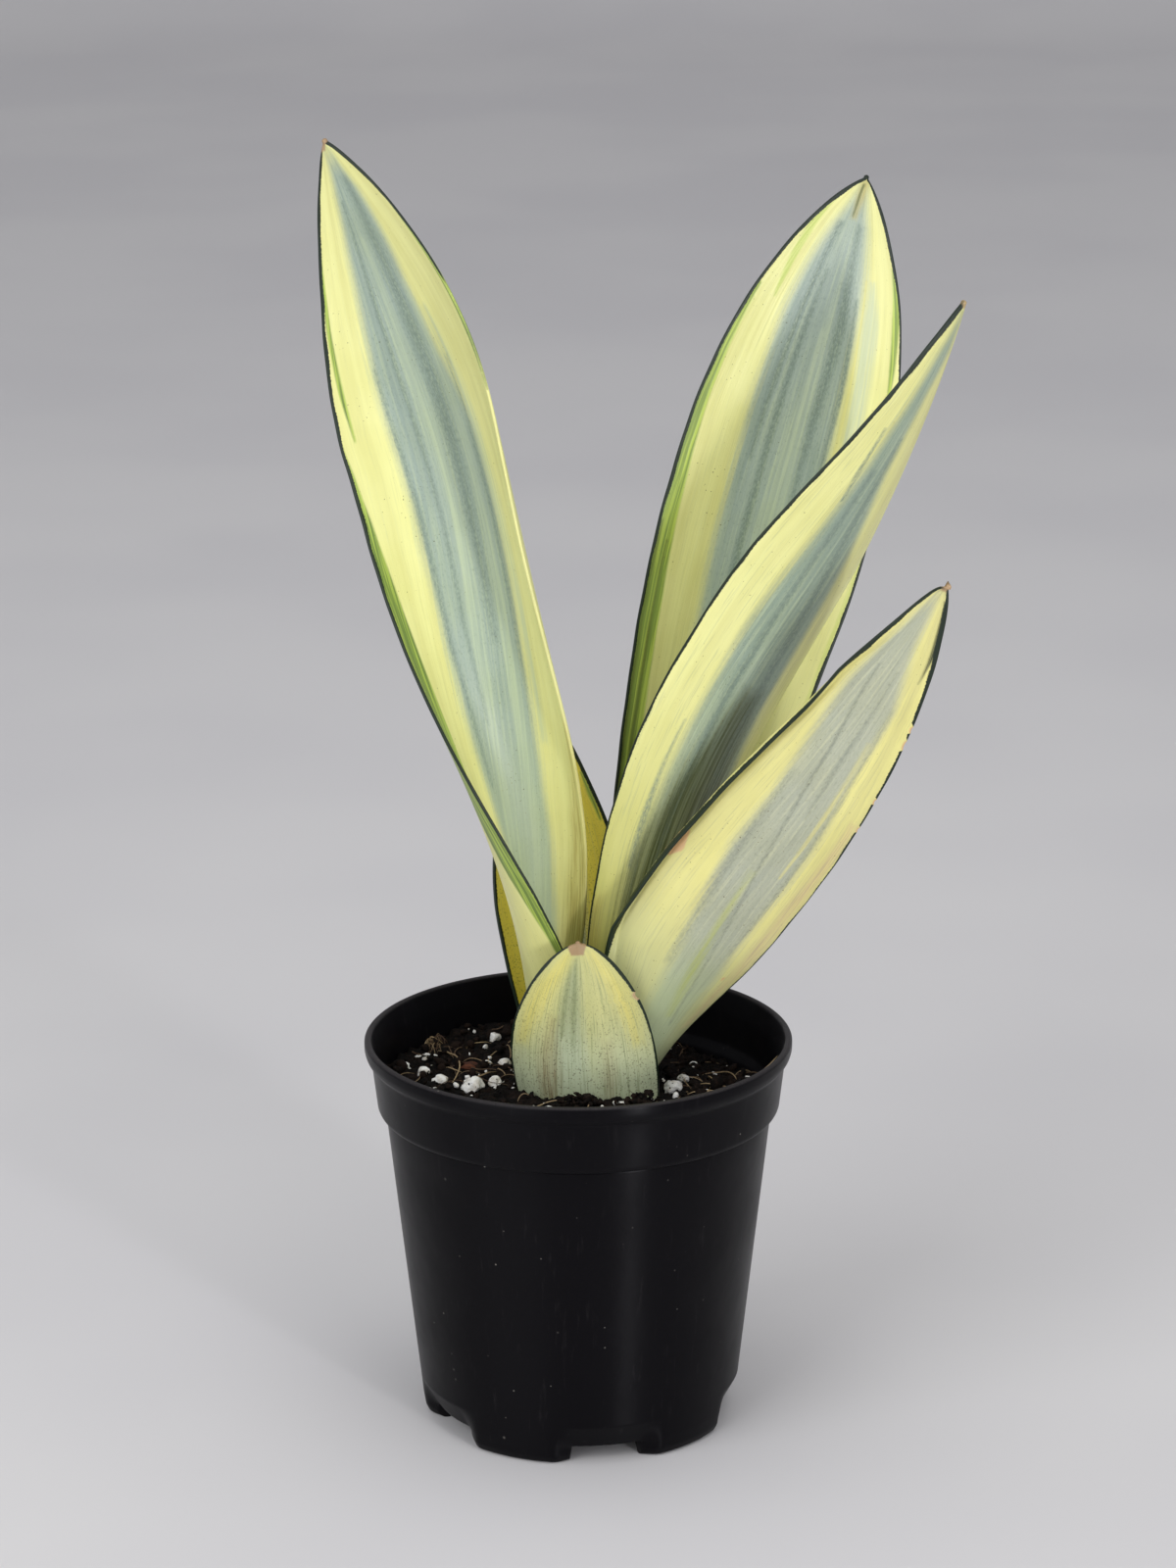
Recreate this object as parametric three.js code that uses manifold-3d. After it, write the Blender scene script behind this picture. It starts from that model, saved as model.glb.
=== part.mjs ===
// A snake plant in a black nursery pot. Six cream-edged leaves stand around one buried crown, in soil
// with white perlite grains. Millimetres, +Z up. The plant's front faces -Y and +X is on its right.
// Angles around the pot are in degrees, from the front (-Y) towards +X.
import * as THREE from 'three';
import { mergeVertices } from 'three/addons/utils/BufferGeometryUtils.js';
import Module from 'manifold-3d';

const wasm = await Module();
wasm.setup();

// ---------------------------------------------------------------- driving dimensions

const GAP = 0.3; // clear space between pieces that touch on the real thing
const WALL = 1.5; // the pot's moulded wall

const POT = {
  rimRadius: 60,
  height: 111.6,
  footRadius: 42.1,
  bodyLow: [45.4, 12.6], // [radius, height] where the straight body starts
  bodyHigh: [54.2, 90.4],
  collarLow: [56.5, 92.4],
  collarHigh: [58.1, 105.8],
  beadBottom: 108.8,
  ledge: [55.4, 96.0], // outer end of the step inside the collar
  ledgeInner: [53.6, 93.5],
  floorUnder: 5.0, // underside of the raised floor
  segments: 80,
};

const NOTCH = {
  count: 5,
  middle: 10.5, // the notch that faces the viewer
  width: 31.5,
  top: 12.0, // height where the recess fades out
  depth: 3.4, // how far the wall stands back at its lower edge
  lip: 4.4, // height of the wall's lower edge
  corner: 7, // degrees over which a foot rounds into the recess
  slot: { radius: 32, length: 8, width: 5 }, // drain slot through the floor
};

const SOIL = {
  level: 98.2,
  heap: { at: [3, -25], rise: 3.0, reach: 13 }, // mound against the front leaf
  dip: { at: [44, 34], fall: 6.0, reach: 22 }, // sunken at the right back
  lowerRadius: 39.2, // clear of the notches
  lumps: 0.55,
  segments: 58,
};

const CROWN = {
  centre: [2, 0, 75],
  radii: [15, 22, 10],
  roots: 6,
  rootRadius: 1.6,
  rootReach: 27,
  rootBottom: 30,
};

// Each leaf's centreline runs foot, low, high, tip. Widths are in millimetres, along the curved section.
// footWidth is a share of width, widest the place of the full width along the leaf, swell the growth
// up to it, shoulder and point the rounding from there to the tip. Facing is the way that the inner
// side looks, channel the angle that the section bends through, and fade how soon each settles.
const LEAVES = {
  leaf_tall_left: {
    foot: [-7.6, 1, 82], low: [-34, -3, 272], high: [-13.5, 22, 241], tip: [-68, 26, 360],
    width: 63, footWidth: 0.36, widest: 0.69, swell: 0.54, shoulder: 2.1, point: 0.79,
    facing: [145, -36], facingFade: 4.0, channel: [235, 4], channelFade: 0.68,
  },
  leaf_tall_back: {
    foot: [5, 15.6, 82], low: [33, 21, 172], high: [55, 31, 273], tip: [80.5, 46, 346],
    width: 60, footWidth: 0.3, widest: 0.64, swell: 1.55, shoulder: 2.2, point: 0.82,
    facing: [-30, 14], facingFade: 1.4, channel: [95, 15], channelFade: 1.2,
  },
  leaf_right: {
    foot: [12.5, 0, 82], low: [14, 1, 208.5], high: [72, -4, 230.5], tip: [103.5, -13, 322.5],
    width: 45.5, footWidth: 0.35, widest: 0.66, swell: 0.7, shoulder: 1.46, point: 0.71,
    facing: [189, 240.5], facingFade: 1.02, channel: [110, 64], channelFade: 1.29,
  },
  leaf_low_right: {
    foot: [9, -7.3, 83], low: [16, -11, 143.5], high: [60, -27, 173], tip: [98, -43, 253],
    width: 42.7, footWidth: 0.39, widest: 0.42, swell: 1.93, shoulder: 1.97, point: 0.69,
    facing: [197.5, 163], facingFade: 1.54, channel: [120, 26.5], channelFade: 1.0,
  },
  leaf_short_front: {
    foot: [3.5, -19, 80], low: [-0.5, -22, 110], high: [1.5, -23, 121], tip: [0, -22, 146],
    width: 45, footWidth: 0.86, widest: 0.32, swell: 1.0, shoulder: 2.0, point: 0.58,
    facing: [164, 183], facingFade: 1.5, channel: [110, 60], channelFade: 1.3,
  },
  leaf_short_back: {
    foot: [-3, 20, 79], low: [-3, 24, 126], high: [-8, 29, 160], tip: [-13, 33, 203],
    width: 40.5, footWidth: 0.55, widest: 0.52, swell: 1.25, shoulder: 1.5, point: 0.76,
    facing: [25, 9], facingFade: 1.5, channel: [95, 50], channelFade: 1.3,
  },
};

const BLADE = {
  stations: 22, // cross-sections from foot to tip
  columns: 8, // strips across the width
  midThickness: [2.6, 1.6], // foot, tip
  edgeThickness: [1.0, 0.8],
  tipWidth: 1.4,
};

// Larger perlite grains: place on the soil, and size across.
const GRAINS = [
  { at: [-29.5, -6], size: 7.4 },
  { at: [-39, -1], size: 5.0 },
  { at: [-43.6, 5], size: 4.4 },
  { at: [-23.4, -2], size: 4.6 },
  { at: [-21, 13.5], size: 4.2 },
  { at: [26.6, -6.5], size: 5.8 },
  { at: [29.6, 3], size: 4.2 },
  { at: [33, 25], size: 3.2 },
  { at: [-8.5, -31], size: 4.4 },
  { at: [20, 38], size: 4.8 },
  { at: [-24, 36], size: 4.0 },
  { at: [28, -33], size: 5.0 },
];
const BARK = { at: [-31, 13], length: 8.0, width: 5.0, thickness: 2.0, turn: 25 };

// ---------------------------------------------------------------- finishes

function finish(color, roughness) {
  return new THREE.MeshStandardMaterial({ color, roughness, metalness: 0 });
}
const FINISH = {
  pot: finish('#1b1a1d', 0.42),
  soil: finish('#231a14', 0.95),
  crown: finish('#b98a52', 0.7),
  leaf: finish('#dcdc8e', 0.45),
  perlite: finish('#e9e7e0', 0.9),
  bark: finish('#4a2a1e', 0.9),
};

// ---------------------------------------------------------------- solids and meshes

// A closed geometry becomes a solid once its shared corners are merged and flat triangles dropped.
function toSolid(geometry) {
  const bare = geometry.clone();
  bare.deleteAttribute('normal');
  bare.deleteAttribute('uv');
  const merged = mergeVertices(bare, 1e-4);
  const corners = merged.index.array;
  const triangles = [];
  for (let i = 0; i < corners.length; i += 3) {
    const [a, b, c] = corners.slice(i, i + 3);
    if (a !== b && b !== c && c !== a) triangles.push(a, b, c);
  }
  return new wasm.Manifold(new wasm.Mesh({
    numProp: 3,
    vertProperties: Float32Array.from(merged.attributes.position.array),
    triVerts: Uint32Array.from(triangles),
  }));
}

function toGeometry(solid) {
  const mesh = solid.getMesh();
  const geometry = new THREE.BufferGeometry();
  geometry.setAttribute('position', new THREE.BufferAttribute(mesh.vertProperties, 3));
  geometry.setIndex(new THREE.BufferAttribute(mesh.triVerts, 1));
  geometry.computeVertexNormals();
  return geometry;
}

// A cut can leave loose crumbs; the piece is the largest body that remains.
function largestBody(solid) {
  return solid.decompose().reduce((best, body) => (body.volume() > best.volume() ? body : best));
}

function namedMesh(name, solid, material) {
  const mesh = new THREE.Mesh(toGeometry(solid), material);
  mesh.name = name;
  return mesh;
}

// Turns [radius, height] points into a closed body around Z. The first column starts at startAngle.
function turned(points, segments, startAngle = 0) {
  const profile = points.map(([radius, height]) => new THREE.Vector2(radius, height));
  const start = THREE.MathUtils.degToRad(startAngle);
  return new THREE.LatheGeometry(profile, segments, start).rotateX(Math.PI / 2);
}

function moveVertices(geometry, move) {
  const position = geometry.attributes.position;
  const point = new THREE.Vector3();
  for (let i = 0; i < position.count; i += 1) {
    point.fromBufferAttribute(position, i);
    move(point);
    position.setXYZ(i, point.x, point.y, point.z);
  }
  return geometry;
}

const angleOf = (point) => THREE.MathUtils.radToDeg(Math.atan2(point.x, -point.y));
const mix = THREE.MathUtils.lerp;

function setPolar(point, angle, radius) {
  const turn = THREE.MathUtils.degToRad(angle);
  point.x = radius * Math.sin(turn);
  point.y = -radius * Math.cos(turn);
}

// Small seeded generator, so that every build gives the same shapes.
function seeded(seed) {
  let state = seed;
  return () => {
    state = (state * 16807) % 2147483647;
    return state / 2147483647;
  };
}

// ---------------------------------------------------------------- pot

// Inner wall of the pot as [radius, height], from the floor up to the rim.
function innerWall() {
  const [lowRadius, lowHeight] = POT.bodyLow;
  const [highRadius, highHeight] = POT.bodyHigh;
  return [
    [lowRadius - WALL - 1.9, POT.floorUnder + WALL],
    [lowRadius - WALL - 0.9, POT.floorUnder + WALL + 0.9],
    [lowRadius - WALL, lowHeight],
    [highRadius - WALL, highHeight - 0.4],
    POT.ledgeInner,
    POT.ledge,
    [POT.collarHigh[0] - WALL, POT.collarHigh[1] - 0.8],
    [57.9, POT.height - 0.6],
  ];
}

function potProfile() {
  return [
    [0, POT.floorUnder],
    [39.9, POT.floorUnder],
    [40.5, 0],
    [POT.footRadius, 0],
    [43.2, 0.6],
    [44.1, 2.4],
    [44.7, 6.0],
    POT.bodyLow,
    POT.bodyHigh,
    [54.0, 91.0],
    [55.8, 91.2],
    POT.collarLow,
    POT.collarHigh,
    [59.5, 107.2],
    [POT.rimRadius, POT.beadBottom],
    [POT.rimRadius, POT.height - 0.6],
    [59.5, POT.height],
    [58.3, POT.height],
    ...innerWall().reverse(),
    [0, POT.floorUnder + WALL],
  ];
}

// Degrees from a foot into the nearest notch; negative on the foot itself.
function degreesIntoNotch(angle) {
  const pitch = 360 / NOTCH.count;
  const offset = THREE.MathUtils.euclideanModulo(angle - NOTCH.middle + pitch / 2, pitch) - pitch / 2;
  return NOTCH.width / 2 - Math.abs(offset);
}

// Stands the wall back at each notch and lifts its lower edge clear of the ground.
function cutNotch(point) {
  const radius = Math.hypot(point.x, point.y);
  if (radius < 36 || point.z >= NOTCH.top) return;
  const into = degreesIntoNotch(angleOf(point));
  const across = THREE.MathUtils.smoothstep(into, -NOTCH.corner, NOTCH.corner);
  const down = (NOTCH.top - point.z) / (NOTCH.top - NOTCH.lip);
  setPolar(point, angleOf(point), radius - NOTCH.depth * across * Math.min(down, 1));
  if (into > 0.1 && point.z < NOTCH.lip) point.z = NOTCH.lip + 0.1 * point.z;
}

function drainSlot(angle) {
  const { radius, length, width } = NOTCH.slot;
  const outline = new THREE.Shape();
  outline.absarc(0, radius + length / 2, width / 2, 0, Math.PI);
  outline.absarc(0, radius - length / 2, width / 2, Math.PI, 2 * Math.PI);
  const slot = new THREE.ExtrudeGeometry(outline, { depth: 4 * WALL, bevelEnabled: false, curveSegments: 6 });
  return slot.translate(0, 0, POT.floorUnder - WALL).rotateZ(THREE.MathUtils.degToRad(angle + 180));
}

function makePot() {
  const start = NOTCH.middle - NOTCH.width / 2;
  const shell = moveVertices(turned(potProfile(), POT.segments, start), cutNotch);
  let pot = toSolid(shell);
  for (let i = 0; i < NOTCH.count; i += 1) {
    pot = pot.subtract(toSolid(drainSlot(NOTCH.middle + (i * 360) / NOTCH.count)));
  }
  return pot;
}

// ---------------------------------------------------------------- leaves

// Width along the curved section at t, from 0 at the foot to 1 at the tip.
function bladeWidth(leaf, t) {
  const below = Math.min(t / leaf.widest, 1);
  const above = Math.max((t - leaf.widest) / (1 - leaf.widest), 0);
  const growing = leaf.footWidth + (1 - leaf.footWidth) * Math.sin((Math.PI / 2) * below) ** leaf.swell;
  const closing = Math.max(1 - above ** leaf.shoulder, 0) ** leaf.point;
  return Math.max(leaf.width * growing * closing, BLADE.tipWidth);
}

const settle = ([foot, tip], fade, t) => tip + (foot - tip) * (1 - t) ** fade;

// One cross-section: matching rows of points on the inner and outer side of the blade. shift moves it
// along the blade.
function bladeSection(leaf, spine, t, grow, shift = 0) {
  const along = spine.getTangent(t);
  const centre = spine.getPoint(t).addScaledVector(along, shift);
  const facing = THREE.MathUtils.degToRad(settle(leaf.facing, leaf.facingFade, t));
  const inward = new THREE.Vector3(Math.sin(facing), -Math.cos(facing), 0);
  inward.addScaledVector(along, -inward.dot(along)).normalize();
  const across = new THREE.Vector3().crossVectors(along, inward);
  const bend = THREE.MathUtils.degToRad(settle(leaf.channel, leaf.channelFade, t));
  const bendRadius = bladeWidth(leaf, t) / bend;
  const mid = mix(...BLADE.midThickness, t);
  const edge = mix(...BLADE.edgeThickness, t);
  const inner = [];
  const outer = [];
  for (let column = 0; column <= BLADE.columns; column += 1) {
    const side = (2 * column) / BLADE.columns - 1;
    const turn = side * (bend / 2 + (Math.abs(side) === 1 ? grow / bendRadius : 0));
    const half = (edge + (mid - edge) * (1 - side * side)) / 2 + grow;
    const place = (radius) => centre.clone()
      .addScaledVector(across, radius * Math.sin(turn))
      .addScaledVector(inward, bendRadius - radius * Math.cos(turn));
    inner.push(place(bendRadius - half));
    outer.push(place(bendRadius + half));
  }
  return { inner, outer };
}

// A whole blade. grow swells it on every side, for the hole that it stands in, which has one more row
// below the foot.
function bladeGeometry(leaf, grow = 0) {
  const knots = [leaf.foot, leaf.low, leaf.high, leaf.tip].map((place) => new THREE.Vector3(...place));
  const spine = new THREE.CubicBezierCurve3(...knots);
  const rows = grow > 0 ? [bladeSection(leaf, spine, 0, grow, -grow)] : [];
  for (let i = 0; i <= BLADE.stations; i += 1) {
    const along = 1 - (1 - i / BLADE.stations) ** 1.35; // closer together near the tip
    const t = spine.getUtoTmapping(along);
    rows.push(bladeSection(leaf, spine, t, grow));
  }
  const top = rows.length - 1;
  const perRow = 2 * (BLADE.columns + 1);
  const points = rows.flatMap((row) => [...row.inner, ...row.outer]);
  const inner = (row, column) => row * perRow + column;
  const outer = (row, column) => inner(row, column) + BLADE.columns + 1;
  const triangles = [];
  const quad = (a, b, c, d) => triangles.push(a, b, c, a, c, d);
  for (let row = 0; row < top; row += 1) {
    for (let column = 0; column < BLADE.columns; column += 1) {
      const next = column + 1;
      quad(inner(row, column), inner(row, next), inner(row + 1, next), inner(row + 1, column));
      triangles.push(outer(row, column), outer(row + 1, next), outer(row, next));
      triangles.push(outer(row, column), outer(row + 1, column), outer(row + 1, next));
    }
    const last = BLADE.columns;
    quad(inner(row, last), outer(row, last), outer(row + 1, last), inner(row + 1, last));
    quad(outer(row, 0), inner(row, 0), inner(row + 1, 0), outer(row + 1, 0));
  }
  for (let column = 0; column < BLADE.columns; column += 1) {
    const next = column + 1;
    quad(outer(0, column), outer(0, next), inner(0, next), inner(0, column));
    quad(inner(top, column), inner(top, next), outer(top, next), outer(top, column));
  }
  const geometry = new THREE.BufferGeometry().setFromPoints(points);
  geometry.setIndex(triangles);
  return geometry;
}

// ---------------------------------------------------------------- crown and roots

function rootPath(index) {
  const [x, y, z] = CROWN.centre;
  const angle = (index + 0.35) * ((2 * Math.PI) / CROWN.roots);
  const reach = CROWN.rootReach * (0.85 + 0.15 * Math.cos(3 * angle));
  const at = (share, height) => new THREE.Vector3(
    x + share * reach * Math.sin(angle),
    y - share * reach * Math.cos(angle),
    height,
  );
  return new THREE.CatmullRomCurve3([
    at(0.25, z - 2),
    at(0.7, z - 12),
    at(0.95, mix(z, CROWN.rootBottom, 0.62)),
    at(1.0, CROWN.rootBottom),
  ]);
}

// The crown with its roots. grow swells all of it, for the hollow that it fills in the soil.
function makeCrown(grow = 0) {
  const [rx, ry, rz] = CROWN.radii;
  const knob = new THREE.SphereGeometry(1, 20, 12).rotateX(Math.PI / 2);
  knob.scale(rx + grow, ry + grow, rz + grow).translate(...CROWN.centre);
  let crown = toSolid(knob);
  for (let i = 0; i < CROWN.roots; i += 1) {
    const section = new THREE.Shape();
    section.absarc(0, 0, CROWN.rootRadius + grow, 0, 2 * Math.PI);
    const path = rootPath(i);
    const end = path.getPoint(1);
    if (grow > 0) path.points.push(end.clone().setZ(end.z - grow));
    const root = new THREE.ExtrudeGeometry(section, { steps: 7, curveSegments: 3, extrudePath: path });
    crown = crown.add(toSolid(root));
  }
  return crown;
}

// ---------------------------------------------------------------- soil and what lies on it

function soilHeight(x, y) {
  const bump = ({ at, reach }) => Math.exp(-((x - at[0]) ** 2 + (y - at[1]) ** 2) / (2 * reach * reach));
  const lumps = Math.sin(0.41 * x + 0.9) * Math.cos(0.37 * y - 0.4) + 0.6 * Math.sin(0.23 * x - 0.31 * y + 2.1);
  return SOIL.level + SOIL.heap.rise * bump(SOIL.heap) - SOIL.dip.fall * bump(SOIL.dip) + SOIL.lumps * lumps;
}

function wallRadius(height) {
  const wall = innerWall();
  const above = Math.max(wall.findIndex((point) => point[1] >= height), 1);
  const [[r0, z0], [r1, z1]] = [wall[above - 1], wall[above]];
  return mix(r0, r1, (height - z0) / (z1 - z0));
}

// Rows of the soil body: the floor, the lower side, three rows that reach the uneven edge, the top.
function makeSoil() {
  const floor = POT.floorUnder + WALL + GAP;
  const shoulder = 88;
  const lowHeight = POT.bodyLow[1] + 4;
  const sideRows = [1 / 3, 2 / 3, 1];
  const topRows = [0.88, 0.76, 0.64, 0.52, 0.4, 0.28, 0.16, 0];
  const profile = [
    [0, floor],
    [SOIL.lowerRadius - 2, floor],
    [SOIL.lowerRadius, lowHeight - 6],
    [wallRadius(lowHeight) - 2 * GAP, lowHeight],
    [wallRadius(shoulder) - 2 * GAP, shoulder],
    ...sideRows.map((row) => [POT.ledgeInner[0], shoulder + row]),
    ...topRows.map((row) => [row * POT.ledgeInner[0], 200]),
  ];
  const body = moveVertices(turned(profile, SOIL.segments), (point) => {
    if (point.z <= shoulder + 0.01) return;
    const edge = soilHeight(point.x, point.y);
    if (point.z > 150) {
      point.z = edge;
      return;
    }
    const height = mix(shoulder + 2, edge, point.z - shoulder);
    setPolar(point, angleOf(point), wallRadius(height) - 2 * GAP);
    point.z = height;
  });
  return toSolid(body);
}

// A rough grain: a ball of flat facets pushed in and out, alike at any grow.
function grainGeometry({ at: [x, y], size }, index, grow = 0) {
  const random = seeded(101 + 37 * index);
  const stretch = [0.85 + 0.3 * random(), 0.75 + 0.25 * random(), 0.62 + 0.2 * random()];
  const pushes = [1, 2, 3].map(() => ({ turn: 6 * random(), pitch: 2 + 2 * random() }));
  const ball = new THREE.IcosahedronGeometry(1, 1);
  moveVertices(ball, (point) => {
    const rough = pushes.reduce((sum, { turn, pitch }, axis) => (
      sum + 0.09 * Math.sin(pitch * point.getComponent(axis) * 2 + turn)
    ), 1);
    const radius = (size / 2) * rough + grow;
    point.set(point.x * stretch[0], point.y * stretch[1], point.z * stretch[2]).multiplyScalar(radius);
  });
  return ball.translate(x, y, soilHeight(x, y) + 0.14 * size);
}

function barkGeometry(grow = 0) {
  const { at: [x, y], length, width, thickness, turn } = BARK;
  const chip = new THREE.SphereGeometry(1, 7, 4);
  chip.scale(length / 2 + grow, width / 2 + grow, thickness / 2 + grow);
  chip.rotateX(0.2).rotateZ(THREE.MathUtils.degToRad(turn));
  return chip.translate(x, y, soilHeight(x, y) + 0.1 * thickness);
}

// ---------------------------------------------------------------- assembly

const plant = new THREE.Group();

const crownHollow = makeCrown(GAP);
let soil = makeSoil().subtract(crownHollow);

const leafGroup = new THREE.Group();
for (const [name, leaf] of Object.entries(LEAVES)) {
  const blade = largestBody(toSolid(bladeGeometry(leaf)).subtract(crownHollow));
  leafGroup.add(namedMesh(name, blade, FINISH.leaf));
  soil = soil.subtract(toSolid(bladeGeometry(leaf, GAP)));
}

const litterGroup = new THREE.Group();
GRAINS.forEach((grain, index) => {
  const name = `perlite_${String(index + 1).padStart(2, '0')}`;
  litterGroup.add(namedMesh(name, toSolid(grainGeometry(grain, index)), FINISH.perlite));
  soil = soil.subtract(toSolid(grainGeometry(grain, index, GAP)));
});
litterGroup.add(namedMesh('bark_chip', toSolid(barkGeometry()), FINISH.bark));
soil = soil.subtract(toSolid(barkGeometry(GAP)));

plant.add(namedMesh('pot', makePot(), FINISH.pot));
plant.add(namedMesh('soil', largestBody(soil), FINISH.soil));
plant.add(namedMesh('crown', makeCrown(), FINISH.crown));
plant.add(leafGroup, litterGroup);

// The origin is the middle of the whole plant's footprint, on the ground.
const bounds = new THREE.Box3().setFromObject(plant);
plant.position.set(-(bounds.min.x + bounds.max.x) / 2, -(bounds.min.y + bounds.max.y) / 2, -bounds.min.z);

export default plant;
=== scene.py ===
"""A potted snake plant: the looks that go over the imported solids.

Six cream-edged blades stand around one buried crown, in dark potting mix with white perlite, in a
black nursery pot on five feet. Sizes are millimetres about the pot's axis, +Z is up and the plant's
front faces -Y. Angles are degrees from the front towards +X. Across a blade, places run from -1 to 1.
"""

import logging
import math
from dataclasses import dataclass, field
from enum import Enum

import bmesh
import bpy
import numpy as np
from mathutils import Matrix, Vector


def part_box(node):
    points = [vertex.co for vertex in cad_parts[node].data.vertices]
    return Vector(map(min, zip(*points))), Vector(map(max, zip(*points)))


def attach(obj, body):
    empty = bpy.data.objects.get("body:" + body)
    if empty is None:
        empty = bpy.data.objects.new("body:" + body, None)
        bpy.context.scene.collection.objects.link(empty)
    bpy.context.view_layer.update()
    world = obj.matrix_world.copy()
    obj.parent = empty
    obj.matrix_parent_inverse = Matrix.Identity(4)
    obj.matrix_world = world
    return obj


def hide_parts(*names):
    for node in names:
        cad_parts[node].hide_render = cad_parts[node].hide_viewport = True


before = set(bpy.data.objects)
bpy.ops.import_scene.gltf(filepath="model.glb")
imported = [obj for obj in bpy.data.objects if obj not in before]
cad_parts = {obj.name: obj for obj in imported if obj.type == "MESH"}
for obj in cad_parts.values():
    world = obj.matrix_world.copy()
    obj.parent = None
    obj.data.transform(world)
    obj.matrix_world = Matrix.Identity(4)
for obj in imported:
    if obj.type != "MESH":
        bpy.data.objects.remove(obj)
bpy.context.view_layer.update()

MM = 0.001
POT_LOW, POT_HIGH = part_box("pot")
AXIS = Vector(((POT_LOW.x + POT_HIGH.x) / 2, (POT_LOW.y + POT_HIGH.y) / 2, 0.0))

Point = tuple[float, float, float]
Pair = tuple[float, float]
Colour = tuple[float, float, float, float]
Array = np.ndarray
Faces = list[tuple[int, ...]]
Object = bpy.types.Object
Material = bpy.types.Material
Socket = bpy.types.NodeSocket
Value = Socket | float
Draws = np.random.Generator

PERLITE_GRAINS = 12
ROUND = 6.28  # about a full turn, in radians
MARK_DEPTH = 3.0  # a mark's value is cut off at this depth inside or outside its border

log = logging.getLogger("snake_plant")


# ------------------------------------------------------------------ small tools


def tone(red: int, green: int, blue: int) -> Colour:
    """Gives a shader colour from screen values of 0 to 255."""
    linear = [c / 255 / 12.92 if c < 11 else ((c / 255 + 0.055) / 1.055) ** 2.4 for c in (red, green, blue)]
    return (*linear, 1.0)


def smoothstep(value: Array, low: float, high: float) -> Array:
    """Rises smoothly from 0 at low to 1 at high."""
    share = np.clip((value - low) / (high - low), 0.0, 1.0)
    return share * share * (3 - 2 * share)


def mix(start: Array, end: Array, share: Array) -> Array:
    """Goes in a straight line from start to end."""
    return start + (end - start) * share


def unit(vectors: Array) -> Array:
    """Scales vectors to length 1."""
    return vectors / np.maximum(np.linalg.norm(vectors, axis=-1, keepdims=True), 1e-12)


def ripple(points: Array, pitch: float, seed: int, waves: int = 7) -> Array:
    """Smooth uneven values from -1 to 1, the same at each run.

    Args:
        points: places, in millimetres.
        pitch: rough distance between two bumps.
        seed: picks the pattern.
        waves: how many waves are added up.

    Returns:
        One value for each point.
    """
    random = np.random.default_rng(seed)
    total = np.zeros(points.shape[:-1])
    for _ in range(waves):
        direction = unit(random.normal(size=3))
        phase = points @ direction * (2 * math.pi / pitch) * random.uniform(0.7, 1.5)
        total += np.sin(phase + random.uniform(0, ROUND))
    return total / math.sqrt(waves)


def read_table(rows: tuple[Point, ...], at: Array) -> tuple[Array, Array]:
    """Reads the second and third figures of a table at places along its first figure."""
    table = np.array(sorted(rows))
    return np.interp(at, table[:, 0], table[:, 1]), np.interp(at, table[:, 0], table[:, 2])


def in_scene(name: str, data: bpy.types.ID) -> Object:
    """Makes an object and puts it in the scene."""
    made = bpy.data.objects.new(name, data)
    bpy.context.scene.collection.objects.link(made)
    return made


@dataclass
class Surface:
    """A mesh in the making.

    Attributes:
        points: places about the pot's axis, in millimetres.
        faces: corner numbers of each face.
        values: named values at the points, which the finishes read.
    """

    points: Array
    faces: Faces
    values: dict[str, Array] = field(default_factory=dict)

    def plain(self, name: str) -> Object:
        """Makes the object, flat and without a finish."""
        mesh = bpy.data.meshes.new(name)
        mesh.from_pydata((self.points * MM + np.array(AXIS)).tolist(), [], self.faces)
        return in_scene(name, mesh)

    def dressed(self, name: str, finish: Material) -> Object:
        """Makes the object, smooth and with its values.

        Args:
            name: name of the object.
            finish: its material.

        Returns:
            The object.
        """
        made = self.plain(name)
        mesh = made.data
        for label, numbers in self.values.items():
            layer = mesh.attributes.new(label, "FLOAT", "POINT")
            layer.data.foreach_set("value", np.asarray(numbers, np.float32).ravel())
        mesh.polygons.foreach_set("use_smooth", np.ones(len(mesh.polygons), bool))
        mesh.update()
        mesh.materials.append(finish)
        return made

    def piece(self, name: str, finish: Material, slot: str, replaces: tuple[str, ...] = ()) -> Object:
        """Makes the object, dresses it and puts it on the body.

        Args:
            name: name of the piece.
            finish: its material.
            slot: not used.
            replaces: nodes that the piece stands for.

        Returns:
            The object.
        """
        made = self.dressed(name, finish)
        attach(made, "root")
        if replaces:
            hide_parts(*replaces)
        log.info("%s: %d faces", name, len(made.data.polygons))
        return made


def joined(parts: list[Surface]) -> Surface:
    """Puts several surfaces into one, with the values that the first one has."""
    starts = np.cumsum([0] + [len(part.points) for part in parts])
    faces = [tuple(c + start for c in face) for part, start in zip(parts, starts) for face in part.faces]
    values = {name: np.concatenate([part.values[name] for part in parts]) for name in parts[0].values}
    return Surface(np.concatenate([part.points for part in parts]), faces, values)


def ring_faces(rows: int, columns: int) -> Faces:
    """Makes four-sided faces between rings of points that follow one another.

    Args:
        rows: how many rings there are.
        columns: how many points each ring has.

    Returns:
        Corner numbers of each face.
    """
    faces = []
    for base in range(0, (rows - 1) * columns, columns):
        for column in range(columns):
            after = (column + 1) % columns
            faces.append((base + column, base + after, base + columns + after, base + columns + column))
    return faces


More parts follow.
